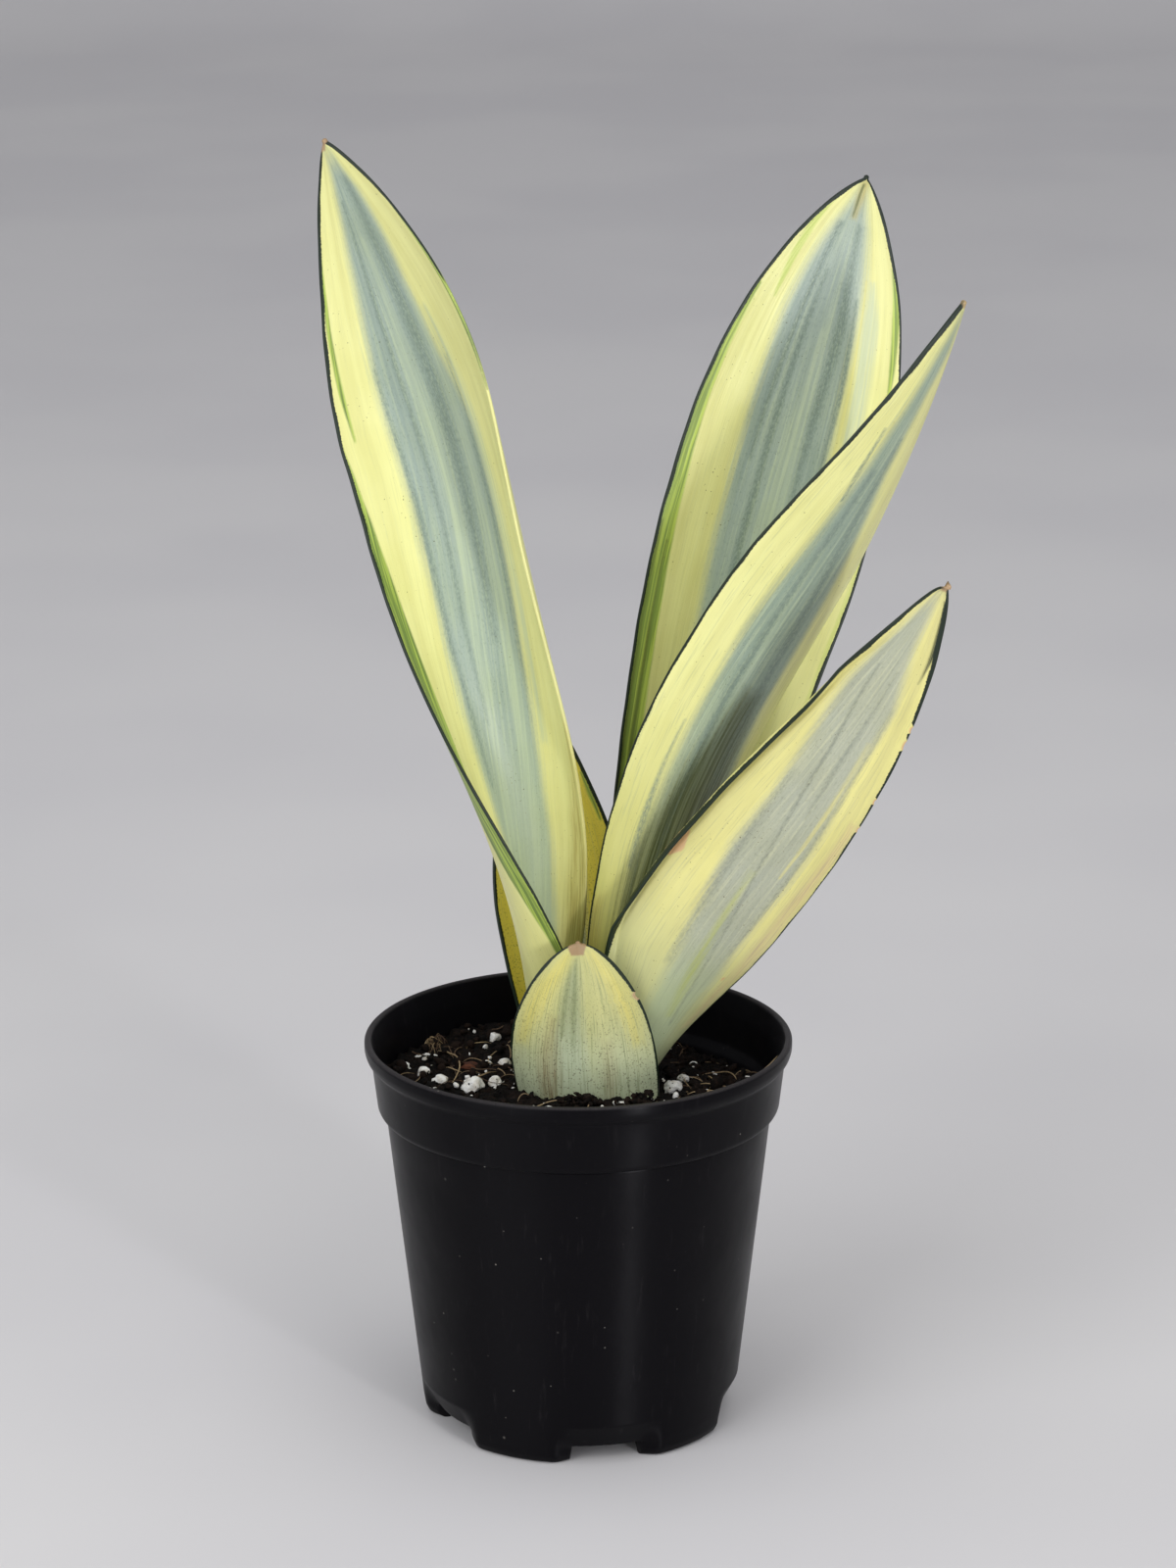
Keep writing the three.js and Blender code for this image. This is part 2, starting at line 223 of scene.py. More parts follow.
def turned(profile: list[Pair], columns: int, start: float = 0.0) -> Surface:
    """Turns a closed outline of (radius, height) into a body around the axis.

    Args:
        profile: the outline, from the axis below to the axis above.
        columns: how many steps go round.
        start: angle of the first column.

    Returns:
        The body, closed at both poles.
    """
    rings = np.array(profile[1:-1])
    angles = np.radians(start + np.arange(columns) * 360 / columns)
    radius = rings[:, 0][:, None]
    x = radius * np.sin(angles)
    y = -radius * np.cos(angles)
    z = np.repeat(rings[:, 1][:, None], columns, axis=1)
    points = np.stack([x, y, z], axis=-1).reshape(-1, 3)
    low, high = len(points), len(points) + 1
    points = np.concatenate([points, [[0, 0, profile[0][1]], [0, 0, profile[-1][1]]]])
    faces = ring_faces(len(rings), columns)
    last = (len(rings) - 1) * columns
    for column in range(columns):
        after = (column + 1) % columns
        faces.append((low, after, column))
        faces.append((high, last + column, last + after))
    return Surface(points, faces)


def ball(detail: int) -> tuple[Array, Faces]:
    """Makes a ball of radius 1 from even triangles.

    Args:
        detail: how finely it is divided.

    Returns:
        Its points, and the corner numbers of its faces.
    """
    mesh = bpy.data.meshes.new("ball")
    shape = bmesh.new()
    bmesh.ops.create_icosphere(shape, subdivisions=detail, radius=1)
    shape.to_mesh(mesh)
    shape.free()
    points = np.array([vertex.co for vertex in mesh.vertices])
    faces = [tuple(face.vertices) for face in mesh.polygons]
    bpy.data.meshes.remove(mesh)
    return points, faces


# ------------------------------------------------------------------ finishes


class Paint:
    """Builds the nodes of one material, in millimetres of the piece's own space."""

    def __init__(self, name: str, roughness: float, gloss: float = 0.5) -> None:
        """Starts a material.

        Args:
            name: name of the material.
            roughness: roughness that is the same all over.
            gloss: strength of the mirror part of the surface.
        """
        self.material = bpy.data.materials.new(name)
        self.material.use_nodes = True
        self.tree = self.material.node_tree
        self.shader = self.tree.nodes["Principled BSDF"]
        self.shader.inputs["Roughness"].default_value = roughness
        self.shader.inputs["Specular IOR Level"].default_value = gloss
        self.height: Value | None = None

    def node(self, kind: str, **settings: object) -> bpy.types.Node:
        """Adds a node and sets its options."""
        made = self.tree.nodes.new(kind)
        for name, value in settings.items():
            setattr(made, name, value)
        return made

    def put(self, value: object, socket: Socket) -> None:
        """Links a socket to another, or sets it to a number or colour."""
        if isinstance(value, Socket):
            self.tree.links.new(value, socket)
        else:
            socket.default_value = value

    def value(self, name: str) -> Socket:
        """Reads a named value of the mesh's points."""
        return self.node("ShaderNodeAttribute", attribute_name=name, attribute_type="GEOMETRY").outputs["Fac"]

    def math(self, operation: str, first: Value, second: Value) -> Socket:
        """Works out one step of arithmetic."""
        made = self.node("ShaderNodeMath", operation=operation)
        for value, socket in zip((first, second), made.inputs):
            self.put(value, socket)
        return made.outputs[0]

    def plus(self, first: Value, second: Value) -> Socket:
        """Adds two values."""
        return self.math("ADD", first, second)

    def times(self, first: Value, second: Value) -> Socket:
        """Multiplies two values."""
        return self.math("MULTIPLY", first, second)

    def vector(self, x: Value, y: Value, z: Value = 0.0) -> Socket:
        """Puts three values together."""
        made = self.node("ShaderNodeCombineXYZ")
        for value, socket in zip((x, y, z), made.inputs):
            self.put(value, socket)
        return made.outputs[0]

    def place(self, stretch: Point = (1.0, 1.0, 1.0)) -> Socket:
        """Gives the place on the piece in millimetres, stretched along each axis."""
        scale = self.node("ShaderNodeVectorMath", operation="MULTIPLY")
        self.put(self.node("ShaderNodeTexCoord").outputs["Object"], scale.inputs[0])
        scale.inputs[1].default_value = tuple(1000 * share for share in stretch)
        return scale.outputs[0]

    def noise(self, vector: Socket, scale: float, detail: float = 2.0, rough: float = 0.5) -> Socket:
        """Gives cloudy values around 0.5; scale is bumps for each unit of the vector."""
        made = self.node("ShaderNodeTexNoise")
        self.put(vector, made.inputs["Vector"])
        made.inputs["Scale"].default_value = scale
        made.inputs["Detail"].default_value = detail
        made.inputs["Roughness"].default_value = rough
        return made.outputs["Fac"]

    def specks(self, vector: Socket, scale: float, size: float, share: float) -> Socket:
        """Gives scattered dots.

        Args:
            vector: where the pattern is read.
            scale: cells for each unit of the vector.
            size: radius of a dot as a share of its cell.
            share: how many of the cells have a dot, from 0 to 1.

        Returns:
            1 in a dot and 0 elsewhere.
        """
        cells = self.node("ShaderNodeTexVoronoi")
        self.put(vector, cells.inputs["Vector"])
        cells.inputs["Scale"].default_value = scale
        split = self.node("ShaderNodeSeparateColor")
        self.put(cells.outputs["Color"], split.inputs[0])
        reach = self.times(split.outputs[1], size)
        inside = self.ramp(self.math("SUBTRACT", reach, cells.outputs["Distance"]), -0.03, 0.06)
        return self.times(inside, self.math("LESS_THAN", split.outputs[0], share))

    def ramp(self, value: Value, low: float, high: float, first: float = 0.0, last: float = 1.0) -> Socket:
        """Goes smoothly from first at low to last at high."""
        made = self.node("ShaderNodeMapRange", interpolation_type="SMOOTHSTEP")
        for number, socket in zip((value, low, high, first, last), made.inputs):
            self.put(number, socket)
        return made.outputs[0]

    def blend(self, share: Value, first: object, second: object, kind: str = "MIX") -> Socket:
        """Mixes two colours."""
        made = self.node("ShaderNodeMix", data_type="RGBA", blend_type=kind)
        self.put(share, made.inputs[0])
        self.put(first, made.inputs[6])
        self.put(second, made.inputs[7])
        return made.outputs[2]

    def raise_by(self, value: Value, millimetres: float) -> None:
        """Adds to the fine relief of the surface."""
        step = self.times(value, millimetres * MM)
        self.height = step if self.height is None else self.plus(self.height, step)

    def finish(self, colour: Socket, roughness: Value | None = None, relief: float = 1.0) -> Material:
        """Joins the colour, the roughness and the relief to the shader.

        Args:
            colour: the surface colour.
            roughness: roughness that changes over the surface, if it does.
            relief: strength of the relief.

        Returns:
            The finished material.
        """
        self.put(colour, self.shader.inputs["Base Color"])
        if roughness is not None:
            self.put(roughness, self.shader.inputs["Roughness"])
        if self.height is not None:
            bump = self.node("ShaderNodeBump")
            bump.inputs["Strength"].default_value = relief
            bump.inputs["Distance"].default_value = 1.0
            self.put(self.height, bump.inputs["Height"])
            self.put(bump.outputs[0], self.shader.inputs["Normal"])
        return self.material


class Mark(Enum):
    """Kinds of marks on a blade. The value names the mesh values that hold them."""

    DARK = "dark"  # deep green streaks in the band
    PALE = "pale"  # pale green streaks in the band
    LIME = "lime"  # yellow-green patches
    GREEN = "green"  # green strips in the cream margin
    CORK = "cork"  # healed brown scars
    DRY = "dry"  # papery tip
    YELLOW = "yellow"  # bright yellow streaks
    OLIVE = "olive"  # dark olive streaks, and painted shade on leaf_right's lower band
    TAN = "tan"  # brownish tinge


@dataclass(frozen=True)
class LeafSkin:
    """Waxy skin of a blade: cream margins, a grey-green middle band, streaks and a dark edge line.

    haired tells how strongly fine dark hair lines run along the whole blade, from 0 to 1.
    """

    haired: float = 0.14
    cream: Colour = tone(229, 228, 154)
    cream_shade: Colour = tone(220, 218, 144)
    foot: Colour = tone(188, 200, 150)
    band: Colour = tone(154, 170, 156)
    band_deep: Colour = tone(134, 151, 142)
    band_pale: Colour = tone(182, 196, 164)
    band_foot: Colour = tone(188, 202, 158)
    dark: Colour = tone(112, 130, 120)
    lime: Colour = tone(168, 190, 82)
    green: Colour = tone(100, 126, 54)
    # the default olive tone is also the painted shade colour of leaf_right's lower band
    olive: Colour = tone(70, 77, 39)
    yellow: Colour = tone(232, 220, 110)
    tan: Colour = tone(178, 162, 84)
    cork: Colour = tone(198, 162, 130)
    dry: Colour = tone(178, 148, 112)
    line: Colour = tone(18, 34, 18)
    speck: Colour = tone(84, 74, 40)

    def dress(self, name: str) -> Material:
        """Builds the material of one blade.

        Args:
            name: name of the material.

        Returns:
            The finished material.
        """
        paint = Paint(name, 0.4, 0.45)
        lines = self.fibre(paint, 0.02, 0.0, 0.95, 3.0, 0.6)
        hairs = self.fibre(paint, 0.03, 31.0, 2.6)
        broad = self.fibre(paint, 0.04, 0.0, 0.21)
        mottle = self.fibre(paint, 0.45, 13.0, 1.7, 4.0, 0.7)
        cloud = self.fibre(paint, 1.0, 3.0, 0.06)
        grain = self.fibre(paint, 1.0, 9.0, 1.9, 3.0, 0.6)
        drift = self.fibre(paint, 1.0, 21.0, 0.09)

        cream = paint.blend(paint.ramp(broad, 0.36, 0.66), self.cream, self.cream_shade)
        cream = paint.blend(paint.ramp(lines, 0.56, 0.8, 0.0, 0.14), cream, self.band_pale)

        band = paint.blend(paint.ramp(lines, 0.44, 0.66, 0.0, 0.7), self.band, self.band_pale)
        band = paint.blend(paint.ramp(broad, 0.5, 0.7, 0.0, 0.6), band, self.band_deep)
        band = paint.blend(paint.ramp(mottle, 0.5, 0.72, 0.0, 0.45), band, self.dark)
        band = paint.blend(paint.times(paint.value("fade"), 0.8), band, self.band_foot)
        colour = paint.blend(self.inside(paint, paint.value("band"), lines, mottle), cream, band)
        colour = paint.blend(paint.times(paint.value("base"), 0.9), colour, self.foot)

        striped = paint.ramp(lines, 0.38, 0.6, 0.6, 1.0)
        granular = paint.ramp(mottle, 0.32, 0.6, 0.45, 1.0)
        haired = paint.ramp(hairs, 0.42, 0.6, 0.4, 1.0)
        strip = paint.blend(paint.ramp(lines, 0.44, 0.6), self.green, self.lime)
        for mark, strength, ink, texture in (
            (Mark.PALE, 0.7, self.band_pale, striped),
            (Mark.DARK, 0.8, self.dark, granular),
            (Mark.YELLOW, 0.6, self.yellow, striped),
            (Mark.TAN, 0.85, self.tan, haired),
            (Mark.LIME, 0.75, self.lime, striped),
            (Mark.GREEN, 0.95, strip, 1.0),
            (Mark.OLIVE, 0.95, self.olive, striped),
            (Mark.CORK, 0.9, self.cork, 1.0),
        ):
            share = paint.times(self.cover(paint, mark, lines, mottle), strength)
            colour = paint.blend(paint.times(share, texture), colour, ink)

        colour = paint.blend(paint.ramp(hairs, 0.54, 0.68, 0.0, self.haired), colour, self.dark)
        colour = paint.blend(paint.ramp(cloud, 0.3, 0.75, 0.0, 0.14), colour, self.cream_shade, "MULTIPLY")
        spots = paint.ramp(self.fibre(paint, 1.0, 27.0, 1.3, 1.0), 0.73, 0.76)
        colour = paint.blend(paint.times(spots, paint.ramp(drift, 0.4, 0.62, 0.0, 0.8)), colour, self.speck)
        splash = paint.ramp(self.fibre(paint, 1.0, 5.0, 2.1), 0.6, 0.66)
        dusty = paint.times(splash, paint.times(paint.value("dust"), 0.65))
        colour = paint.blend(dusty, colour, self.speck)

        waver = paint.plus(paint.times(drift, 1.2), paint.times(grain, 0.7))
        reach = paint.times(paint.value("line"), paint.plus(waver, 0.05))
        on_line = paint.ramp(paint.math("SUBTRACT", paint.value("margin"), reach), 0.07, -0.07)
        colour = paint.blend(on_line, colour, self.line)
        colour = paint.blend(paint.times(self.cover(paint, Mark.DRY, lines, mottle), 0.97), colour, self.dry)

        paint.raise_by(lines, 0.16)
        paint.raise_by(grain, 0.04)
        paint.raise_by(cloud, 0.5)
        rough = paint.plus(paint.ramp(mottle, 0.3, 0.8, 0.36, 0.48), paint.times(dusty, 0.3))
        return paint.finish(colour, rough, 0.8)

    def fibre(self, paint: Paint, squeeze: float, layer: float, scale: float, *finer: float) -> Socket:
        """Gives cloudy values that are drawn out along the blade.

        Args:
            paint: the material in the making.
            squeeze: pace along the blade as a share of the pace across; small values draw long lines.
            layer: picks the pattern.
            scale: bumps for each millimetre across.
            finer: count and strength of the finer layers, where they aren't the usual ones.

        Returns:
            Values around 0.5.
        """
        run = paint.value("along")
        if squeeze < 1:
            run = paint.times(run, squeeze)
        return paint.noise(paint.vector(paint.value("vein"), run, layer), scale, *finer)

    def cover(self, paint: Paint, mark: Mark, lines: Value, mottle: Value) -> Socket:
        """Gives where one kind of mark lies, from 0 to 1, with an uneven border."""
        uneven = paint.plus(paint.times(lines, 1.3), paint.times(mottle, 0.5))
        return paint.ramp(paint.plus(paint.value(mark.value), uneven), 0.0, 1.8)

    def inside(self, paint: Paint, depth: Value, lines: Value, mottle: Value) -> Socket:
        """Gives how far a place belongs to the band, with feathered ends of streaks at its border."""
        feather = paint.plus(paint.times(lines, 4.0), paint.times(mottle, 1.2))
        return paint.ramp(paint.plus(depth, feather), 0.5, 4.9)


@dataclass(frozen=True)
class PotPlastic:
    """Black satin plastic, with dust specks, faint scuffs and a rubbed rim.

    The mould's turning marks draw its highlight out into an upright streak; drawn tells how strongly.
    """

    base: Colour = tone(7, 6, 9)
    scuff: Colour = tone(58, 55, 56)
    dust: Colour = tone(150, 146, 138)
    drawn: float = 0.9

    def dress(self, name: str) -> Material:
        """Builds the pot's material.

        Args:
            name: name of the material.

        Returns:
            The finished material.
        """
        paint = Paint(name, 0.36, 0.09)
        paint.shader.inputs["Anisotropic"].default_value = self.drawn
        paint.shader.inputs["Anisotropic Rotation"].default_value = 0.25
        round_pot = paint.node("ShaderNodeTangent", direction_type="RADIAL", axis="Z")
        paint.put(round_pot.outputs[0], paint.shader.inputs["Tangent"])
        cloud = paint.noise(paint.place(), 0.035, 3.0)
        streaks = paint.noise(paint.place((1.0, 1.0, 0.05)), 0.55, 4.0, 0.65)
        pores = paint.noise(paint.place(), 2.6, 2.0)
        colour = paint.blend(paint.ramp(streaks, 0.58, 0.82, 0.0, 0.22), self.base, self.scuff)
        worn = paint.times(paint.value("worn"), paint.ramp(pores, 0.3, 0.7, 0.55, 1.0))
        colour = paint.blend(worn, colour, self.scuff)
        fine = paint.specks(paint.place(), 0.4, 0.12, 0.16)
        large = paint.specks(paint.place(), 0.13, 0.06, 0.3)
        dust = paint.math("MAXIMUM", fine, large)
        colour = paint.blend(paint.times(dust, paint.ramp(cloud, 0.35, 0.65, 0.1, 0.65)), colour, self.dust)
        paint.raise_by(pores, 0.03)
        paint.raise_by(cloud, 0.6)
        rough = paint.plus(paint.ramp(cloud, 0.35, 0.7, 0.32, 0.4), paint.times(worn, 0.12))
        return paint.finish(colour, rough, 0.7)


@dataclass(frozen=True)
class SoilMix:
    """Damp dark peat, from nearly black to reddish brown."""

    base: Colour = tone(12, 10, 9)
    brown: Colour = tone(33, 24, 19)
    pale: Colour = tone(104, 86, 68)

    def dress(self, name: str) -> Material:
        """Builds the soil's material."""
        paint = Paint(name, 0.85, 0.12)
        clods = paint.noise(paint.place(), 0.35, 4.0, 0.6)
        grit = paint.noise(paint.place(), 1.6, 4.0, 0.7)
        colour = paint.blend(paint.ramp(clods, 0.42, 0.7), self.base, self.brown)
        colour = paint.blend(paint.ramp(grit, 0.63, 0.76, 0.0, 0.6), colour, self.pale)
        colour = paint.blend(paint.ramp(paint.value("shade"), 0.0, 1.0, 0.0, 0.8), colour, self.brown)
        paint.raise_by(clods, 1.2)
        paint.raise_by(grit, 0.5)
        return paint.finish(colour, paint.ramp(grit, 0.3, 0.8, 0.95, 0.62))


@dataclass(frozen=True)
class PerliteStone:
    """White puffed glass with dark pits and a little soil on it."""

    base: Colour = tone(246, 245, 240)
    shade: Colour = tone(214, 208, 196)
    pit: Colour = tone(40, 31, 25)

    def dress(self, name: str) -> Material:
        """Builds the grains' material."""
        paint = Paint(name, 0.88, 0.3)
        cloud = paint.noise(paint.place(), 0.45, 3.0)
        grit = paint.noise(paint.place(), 2.4, 3.0, 0.6)
        colour = paint.blend(paint.ramp(cloud, 0.4, 0.68), self.base, self.shade)
        pits = paint.specks(paint.place(), 1.05, 0.33, 0.5)
        soiled = paint.math("MAXIMUM", pits, paint.ramp(grit, 0.69, 0.75))
        colour = paint.blend(soiled, colour, self.pit)
        paint.raise_by(grit, 0.25)
        paint.raise_by(pits, -0.35)
        return paint.finish(colour)


@dataclass(frozen=True)
class TwoTone:
    """A finish that drifts between two colours.

    Attributes:
        base: the colour that it starts from.
        deep: the other colour.
        roughness: roughness all over.
        gloss: strength of the mirror part.
        stretch: how the pattern is drawn out along each axis.
        pattern: (bumps for each millimetre, finer layers, their strength).
        turn: values of the pattern at which the colour starts to turn and has turned.
        relief: height of the pattern in millimetres.
    """

    base: Colour
    deep: Colour
    roughness: float
    gloss: float
    stretch: Point
    pattern: Point
    turn: Pair
    relief: float

    def dress(self, name: str) -> Material:
        """Builds the material."""
        paint = Paint(name, self.roughness, self.gloss)
        grain = paint.noise(paint.place(self.stretch), *self.pattern)
        colour = paint.blend(paint.ramp(grain, *self.turn), self.base, self.deep)
        if self.relief:
            paint.raise_by(grain, self.relief)
        return paint.finish(colour)


BARK_WOOD = TwoTone(  # reddish brown bark with layered grain
    tone(96, 54, 36), tone(52, 30, 20), 0.85, 0.3, (0.25, 1.0, 1.0), (1.5, 4.0, 0.65), (0.38, 0.64), 0.4
)
CROWN_FLESH = TwoTone(  # tan rhizome skin with darker rings
    tone(185, 138, 82), tone(128, 86, 46), 0.7, 0.3, (0.3, 0.3, 1.0), (0.6, 4.0, 0.6), (0.4, 0.62), 0.3
)
STUDIO_PAPER = TwoTone(  # plain pale paper with the faintest cloudiness
    tone(222, 220, 219), tone(217, 215, 215), 0.8, 0.2, (1.0, 1.0, 1.0), (0.004, 2.0, 0.5), (0.35, 0.65), 0.0
)


@dataclass(frozen=True)
class FibreStraw:
    """Thin dry roots and moss stems, from straw to dark brown."""

    straw: Colour = tone(180, 156, 118)
    brown: Colour = tone(78, 58, 42)

    def dress(self, name: str) -> Material:
        """Builds the fibres' material."""
        paint = Paint(name, 0.7, 0.35)
        grain = paint.noise(paint.place(), 0.9, 3.0)
        share = paint.plus(paint.value("shade"), paint.times(paint.math("SUBTRACT", grain, 0.5), 0.9))
        colour = paint.blend(paint.ramp(share, 0.0, 1.0), self.straw, self.brown)
        paint.raise_by(grain, 0.1)
        return paint.finish(colour)


# ------------------------------------------------------------------ blades


@dataclass(frozen=True)
class Streak:
    """One streak or patch on a blade.

    Attributes:
        mark: what kind it is.
        path: (share of the length, place across, width in millimetres) along the streak.
        soft: millimetres over which its border fades.
    """

    mark: Mark
    path: tuple[Point, ...]
    soft: float = 0.7


@dataclass(frozen=True)
class Nick:
    """A small bite out of a margin: where it is, which side, how deep and how long."""

    at: float
    side: int
    depth: float
    length: float


@dataclass(frozen=True)
class Roll:
    """A margin at side +1 that curls over to the outer side.

    Attributes:
        start: share of the length where it begins.
        end: share where it has opened out again.
        strip: width of the curled strip.
        radius: radius of the curl.
        turn: degrees that it turns through.
        curl_in: share of the length over which it curls in.
        open_out: share of the length over which it opens out.
        pull: how far the curl draws the margin in.
    """

    start: float
    end: float
    strip: float
    radius: float
    turn: float
    curl_in: float = 0.16
    open_out: float = 0.34
    pull: float = 0.45


@dataclass(frozen=True)
class Blade:
    """One leaf: its shape as the solids have it, its markings and its skin.

    The centreline runs foot, low, high, tip. band holds (share of the length, left, right) of the grey
    green middle, and lines holds (share of the length, width at -1, width at +1) of the dark edge line.
    round_edge is added to the line where it wraps round the margin, once it is wider than line_rise.
    streak_end rounds the ends of streaks, and band_close is how fast the band closes at its top.
    wobble is the size and the pitch of the margin's unevenness. row_bias draws rows towards the tip,
    rows closer than row_gap are dropped, and end_rows close the tip over end_length.
    """

    name: str
    foot: Point
    low: Point
    high: Point
    tip: Point
    width: float
    foot_width: float
    widest: float
    swell: float
    shoulder: float
    point: float
    facing: Pair
    facing_fade: float
    channel: Pair
    channel_fade: float
    band: tuple[Point, ...]
    lines: tuple[Point, ...]
    streaks: tuple[Streak, ...] = ()
    nicks: tuple[Nick, ...] = ()
    roll: Roll | None = None
    paling: Pair = (0.22, 0.02)
    band_paling: Pair = (0.3, 0.05)
    skin: LeafSkin = LeafSkin()
    dusty: Pair = (42, 14)
    row_pitch: float = 1.2
    columns: int = 110
    mid_thickness: Pair = (2.6, 1.6)
    edge_thickness: Pair = (1.0, 0.8)
    tip_width: float = 1.4
    edge_steps: int = 5
    bare_edge: float = 0.3
    round_edge: float = 0.3
    wound_width: float = 0.7
    line_rise: float = 0.15
    streak_end: float = 0.4
    band_close: float = 0.35
    wobble: Pair = (0.12, 21)
    row_bias: float = 1.25
    row_gap: float = 0.08
    end_rows: int = 4
    end_length: float = 0.7

    def knots(self) -> list[Array]:
        """The four knots of the centreline."""
        return [np.array(knot) for knot in (self.foot, self.low, self.high, self.tip)]

    def spine(self, t: Array) -> Array:
        """Places on the centreline."""
        a, b, c, d = self.knots()
        t = np.asarray(t)[..., None]
        return a * (1 - t) ** 3 + 3 * b * t * (1 - t) ** 2 + 3 * c * t * t * (1 - t) + d * t**3

    def direction(self, t: Array) -> Array:
        """Direction of the centreline, of length 1."""
        a, b, c, d = self.knots()
        t = np.asarray(t)[..., None]
        return unit((b - a) * (1 - t) ** 2 + 2 * (c - b) * t * (1 - t) + (d - c) * t * t)

    def width_at(self, t: Array) -> Array:
        """Width along the curved section."""
        below = np.minimum(t / self.widest, 1)
        above = np.maximum((t - self.widest) / (1 - self.widest), 0)
        growing = self.foot_width + (1 - self.foot_width) * np.sin(math.pi / 2 * below) ** self.swell
        closing = np.maximum(1 - above**self.shoulder, 0) ** self.point
        return np.maximum(self.width * growing * closing, self.tip_width)

    def settle(self, ends: Pair, fade: float, t: Array) -> Array:
        """Goes from the foot's value to the tip's."""
        return ends[1] + (ends[0] - ends[1]) * (1 - t) ** fade

    def stations(self) -> tuple[Array, Array]:
        """Sets out the rows, closer towards the tip and at each nick.

        Returns:
            Curve parameters of the rows, and their distance from the foot in millimetres.
        """
        t = np.linspace(0, 1, 801)
        run = np.concatenate([[0], np.cumsum(np.linalg.norm(np.diff(self.spine(t), axis=0), axis=1))])
        count = int(run[-1] / self.row_pitch)
        share = 1 - (1 - np.linspace(0, 1, count)) ** self.row_bias
        for nick in self.nicks:
            share = np.append(share, nick.at + np.linspace(-1, 1, 9) * nick.length / 2 / run[-1])
        share = np.unique(np.round(share, 5))
        keep = np.concatenate([[True], np.diff(share) * run[-1] > self.row_gap])
        share = share[keep]
        share[-1] = 1.0
        return np.interp(share * run[-1], run, t), share * run[-1]

    def ends_of_rows(self, t: Array, run: Array, side: int) -> tuple[Array, Array, Array]:
        """Where the margin lies in each row.

        Args:
            t: curve parameters of the rows.
            run: distance from the foot.
            side: -1 or 1.

        Returns:
            Distance from the middle to the margin along the surface, distance to where a curl starts,
            and the angle of the curl in radians.
        """
        half = self.width_at(t) / 2
        for nick in self.nicks:
            if nick.side == side:
                near = (run / run[-1] - nick.at) * run[-1] / (nick.length / 2)
                half = half - nick.depth * np.maximum(1 - near**2, 0) ** 0.7
        size, pitch = self.wobble
        wobble = size * ripple(np.stack([run, run * 0, run * 0 + side], -1), pitch, 7 + side)
        half = half + wobble * smoothstep(half, 2, 8)
        if self.roll is None or side < 0:
            return half, half, np.zeros_like(t)
        roll = self.roll
        share = run / run[-1]
        curl = smoothstep(share, roll.start, roll.start + roll.curl_in)
        curl = curl * smoothstep(share, roll.end, roll.end - roll.open_out)
        turn = math.radians(roll.turn) * curl
        flat = np.maximum(roll.strip - roll.radius * turn, 0)
        reach = roll.radius * np.sin(np.minimum(turn, math.pi / 2)) + np.maximum(np.cos(turn), 0) * flat
        start = half - reach - roll.pull * (1 - np.maximum(np.cos(turn), 0))
        return start + roll.strip, start, turn

    def surface(self) -> Surface:
        """Builds the whole blade as one closed skin with rounded margins.

        Returns:
            The surface, with the values that the skin reads.
        """
        t, run = self.stations()
        length = run[-1]
        rounding = np.arange(1, self.end_rows + 1) / self.end_rows
        t = np.concatenate([t, np.ones(self.end_rows)])
        shrink = np.concatenate([np.ones(len(run)), np.sqrt(1 - rounding**2 * 0.96)])
        extra = np.concatenate([np.zeros(len(run)), rounding * self.end_length])
        run = np.concatenate([run, np.full(self.end_rows, length)])

        along = self.direction(t)
        centre = self.spine(t) + along * extra[:, None]
        facing = np.radians(self.settle(self.facing, self.facing_fade, t))
        inward = np.stack([np.sin(facing), -np.cos(facing), 0 * t], -1)
        inward = unit(inward - along * (inward * along).sum(-1, keepdims=True))
        across = np.cross(along, inward)
        bend_radius = self.width_at(t) / np.radians(self.settle(self.channel, self.channel_fade, t))
        mid, edge = mix(*self.mid_thickness, t) * shrink, mix(*self.edge_thickness, t) * shrink
        half_edge = edge / 2
        sides = {side: self.ends_of_rows(t, run, side) for side in (-1, 1)}

        spread = -np.cos(np.linspace(0, math.pi, self.columns + 1))
        round_off = np.linspace(0, math.pi, self.edge_steps + 2)[1:-1]
        slots = [(c, 1.0, 0.0) for c in spread]
        slots += [(1.0, math.cos(a), math.sin(a)) for a in round_off]
        slots += [(c, -1.0, 0.0) for c in spread[::-1]]
        slots += [(-1.0, -math.cos(a), math.sin(a)) for a in round_off]

        columns = []
        places = []
        for share, up, out in slots:
            side = 1 if share > 0 else -1
            margin, start, turn = sides[side]
            q = abs(share) * np.maximum(margin * shrink - half_edge, 0.05)
            beyond = np.maximum(q - start, 0)
            angle = side * np.minimum(q, start) / bend_radius
            normal = inward * np.cos(angle)[:, None] - across * np.sin(angle)[:, None]
            level = across * np.cos(angle)[:, None] + inward * np.sin(angle)[:, None]
            at = centre + across * (bend_radius * np.sin(angle))[:, None]
            at = at + inward * (bend_radius * (1 - np.cos(angle)))[:, None]
            if self.roll is not None and side > 0:
                curl = np.minimum(beyond / self.roll.radius, turn)
                straight = beyond - curl * self.roll.radius
                x = self.roll.radius * np.sin(curl) + np.cos(curl) * straight
                y = self.roll.radius * (1 - np.cos(curl)) + np.sin(curl) * straight
                at = at + level * x[:, None] - normal * y[:, None]
                level, normal = (
                    level * np.cos(curl)[:, None] - normal * np.sin(curl)[:, None],
                    normal * np.cos(curl)[:, None] + level * np.sin(curl)[:, None],
                )
            s = q / np.maximum(margin, 0.1)
            thick = (edge + (mid - edge) * np.maximum(1 - s * s, 0)) / 2
            at = at + normal * (thick * up)[:, None] + level * (side * half_edge * out)[:, None]
            columns.append(at)
            lane = side * np.minimum((q + half_edge * out) / np.maximum(margin * shrink, 0.3), 1)
            places.append(lane)
        points = np.stack(columns, 1)
        lane = np.stack(places, 1)
        rows, ring = points.shape[:2]
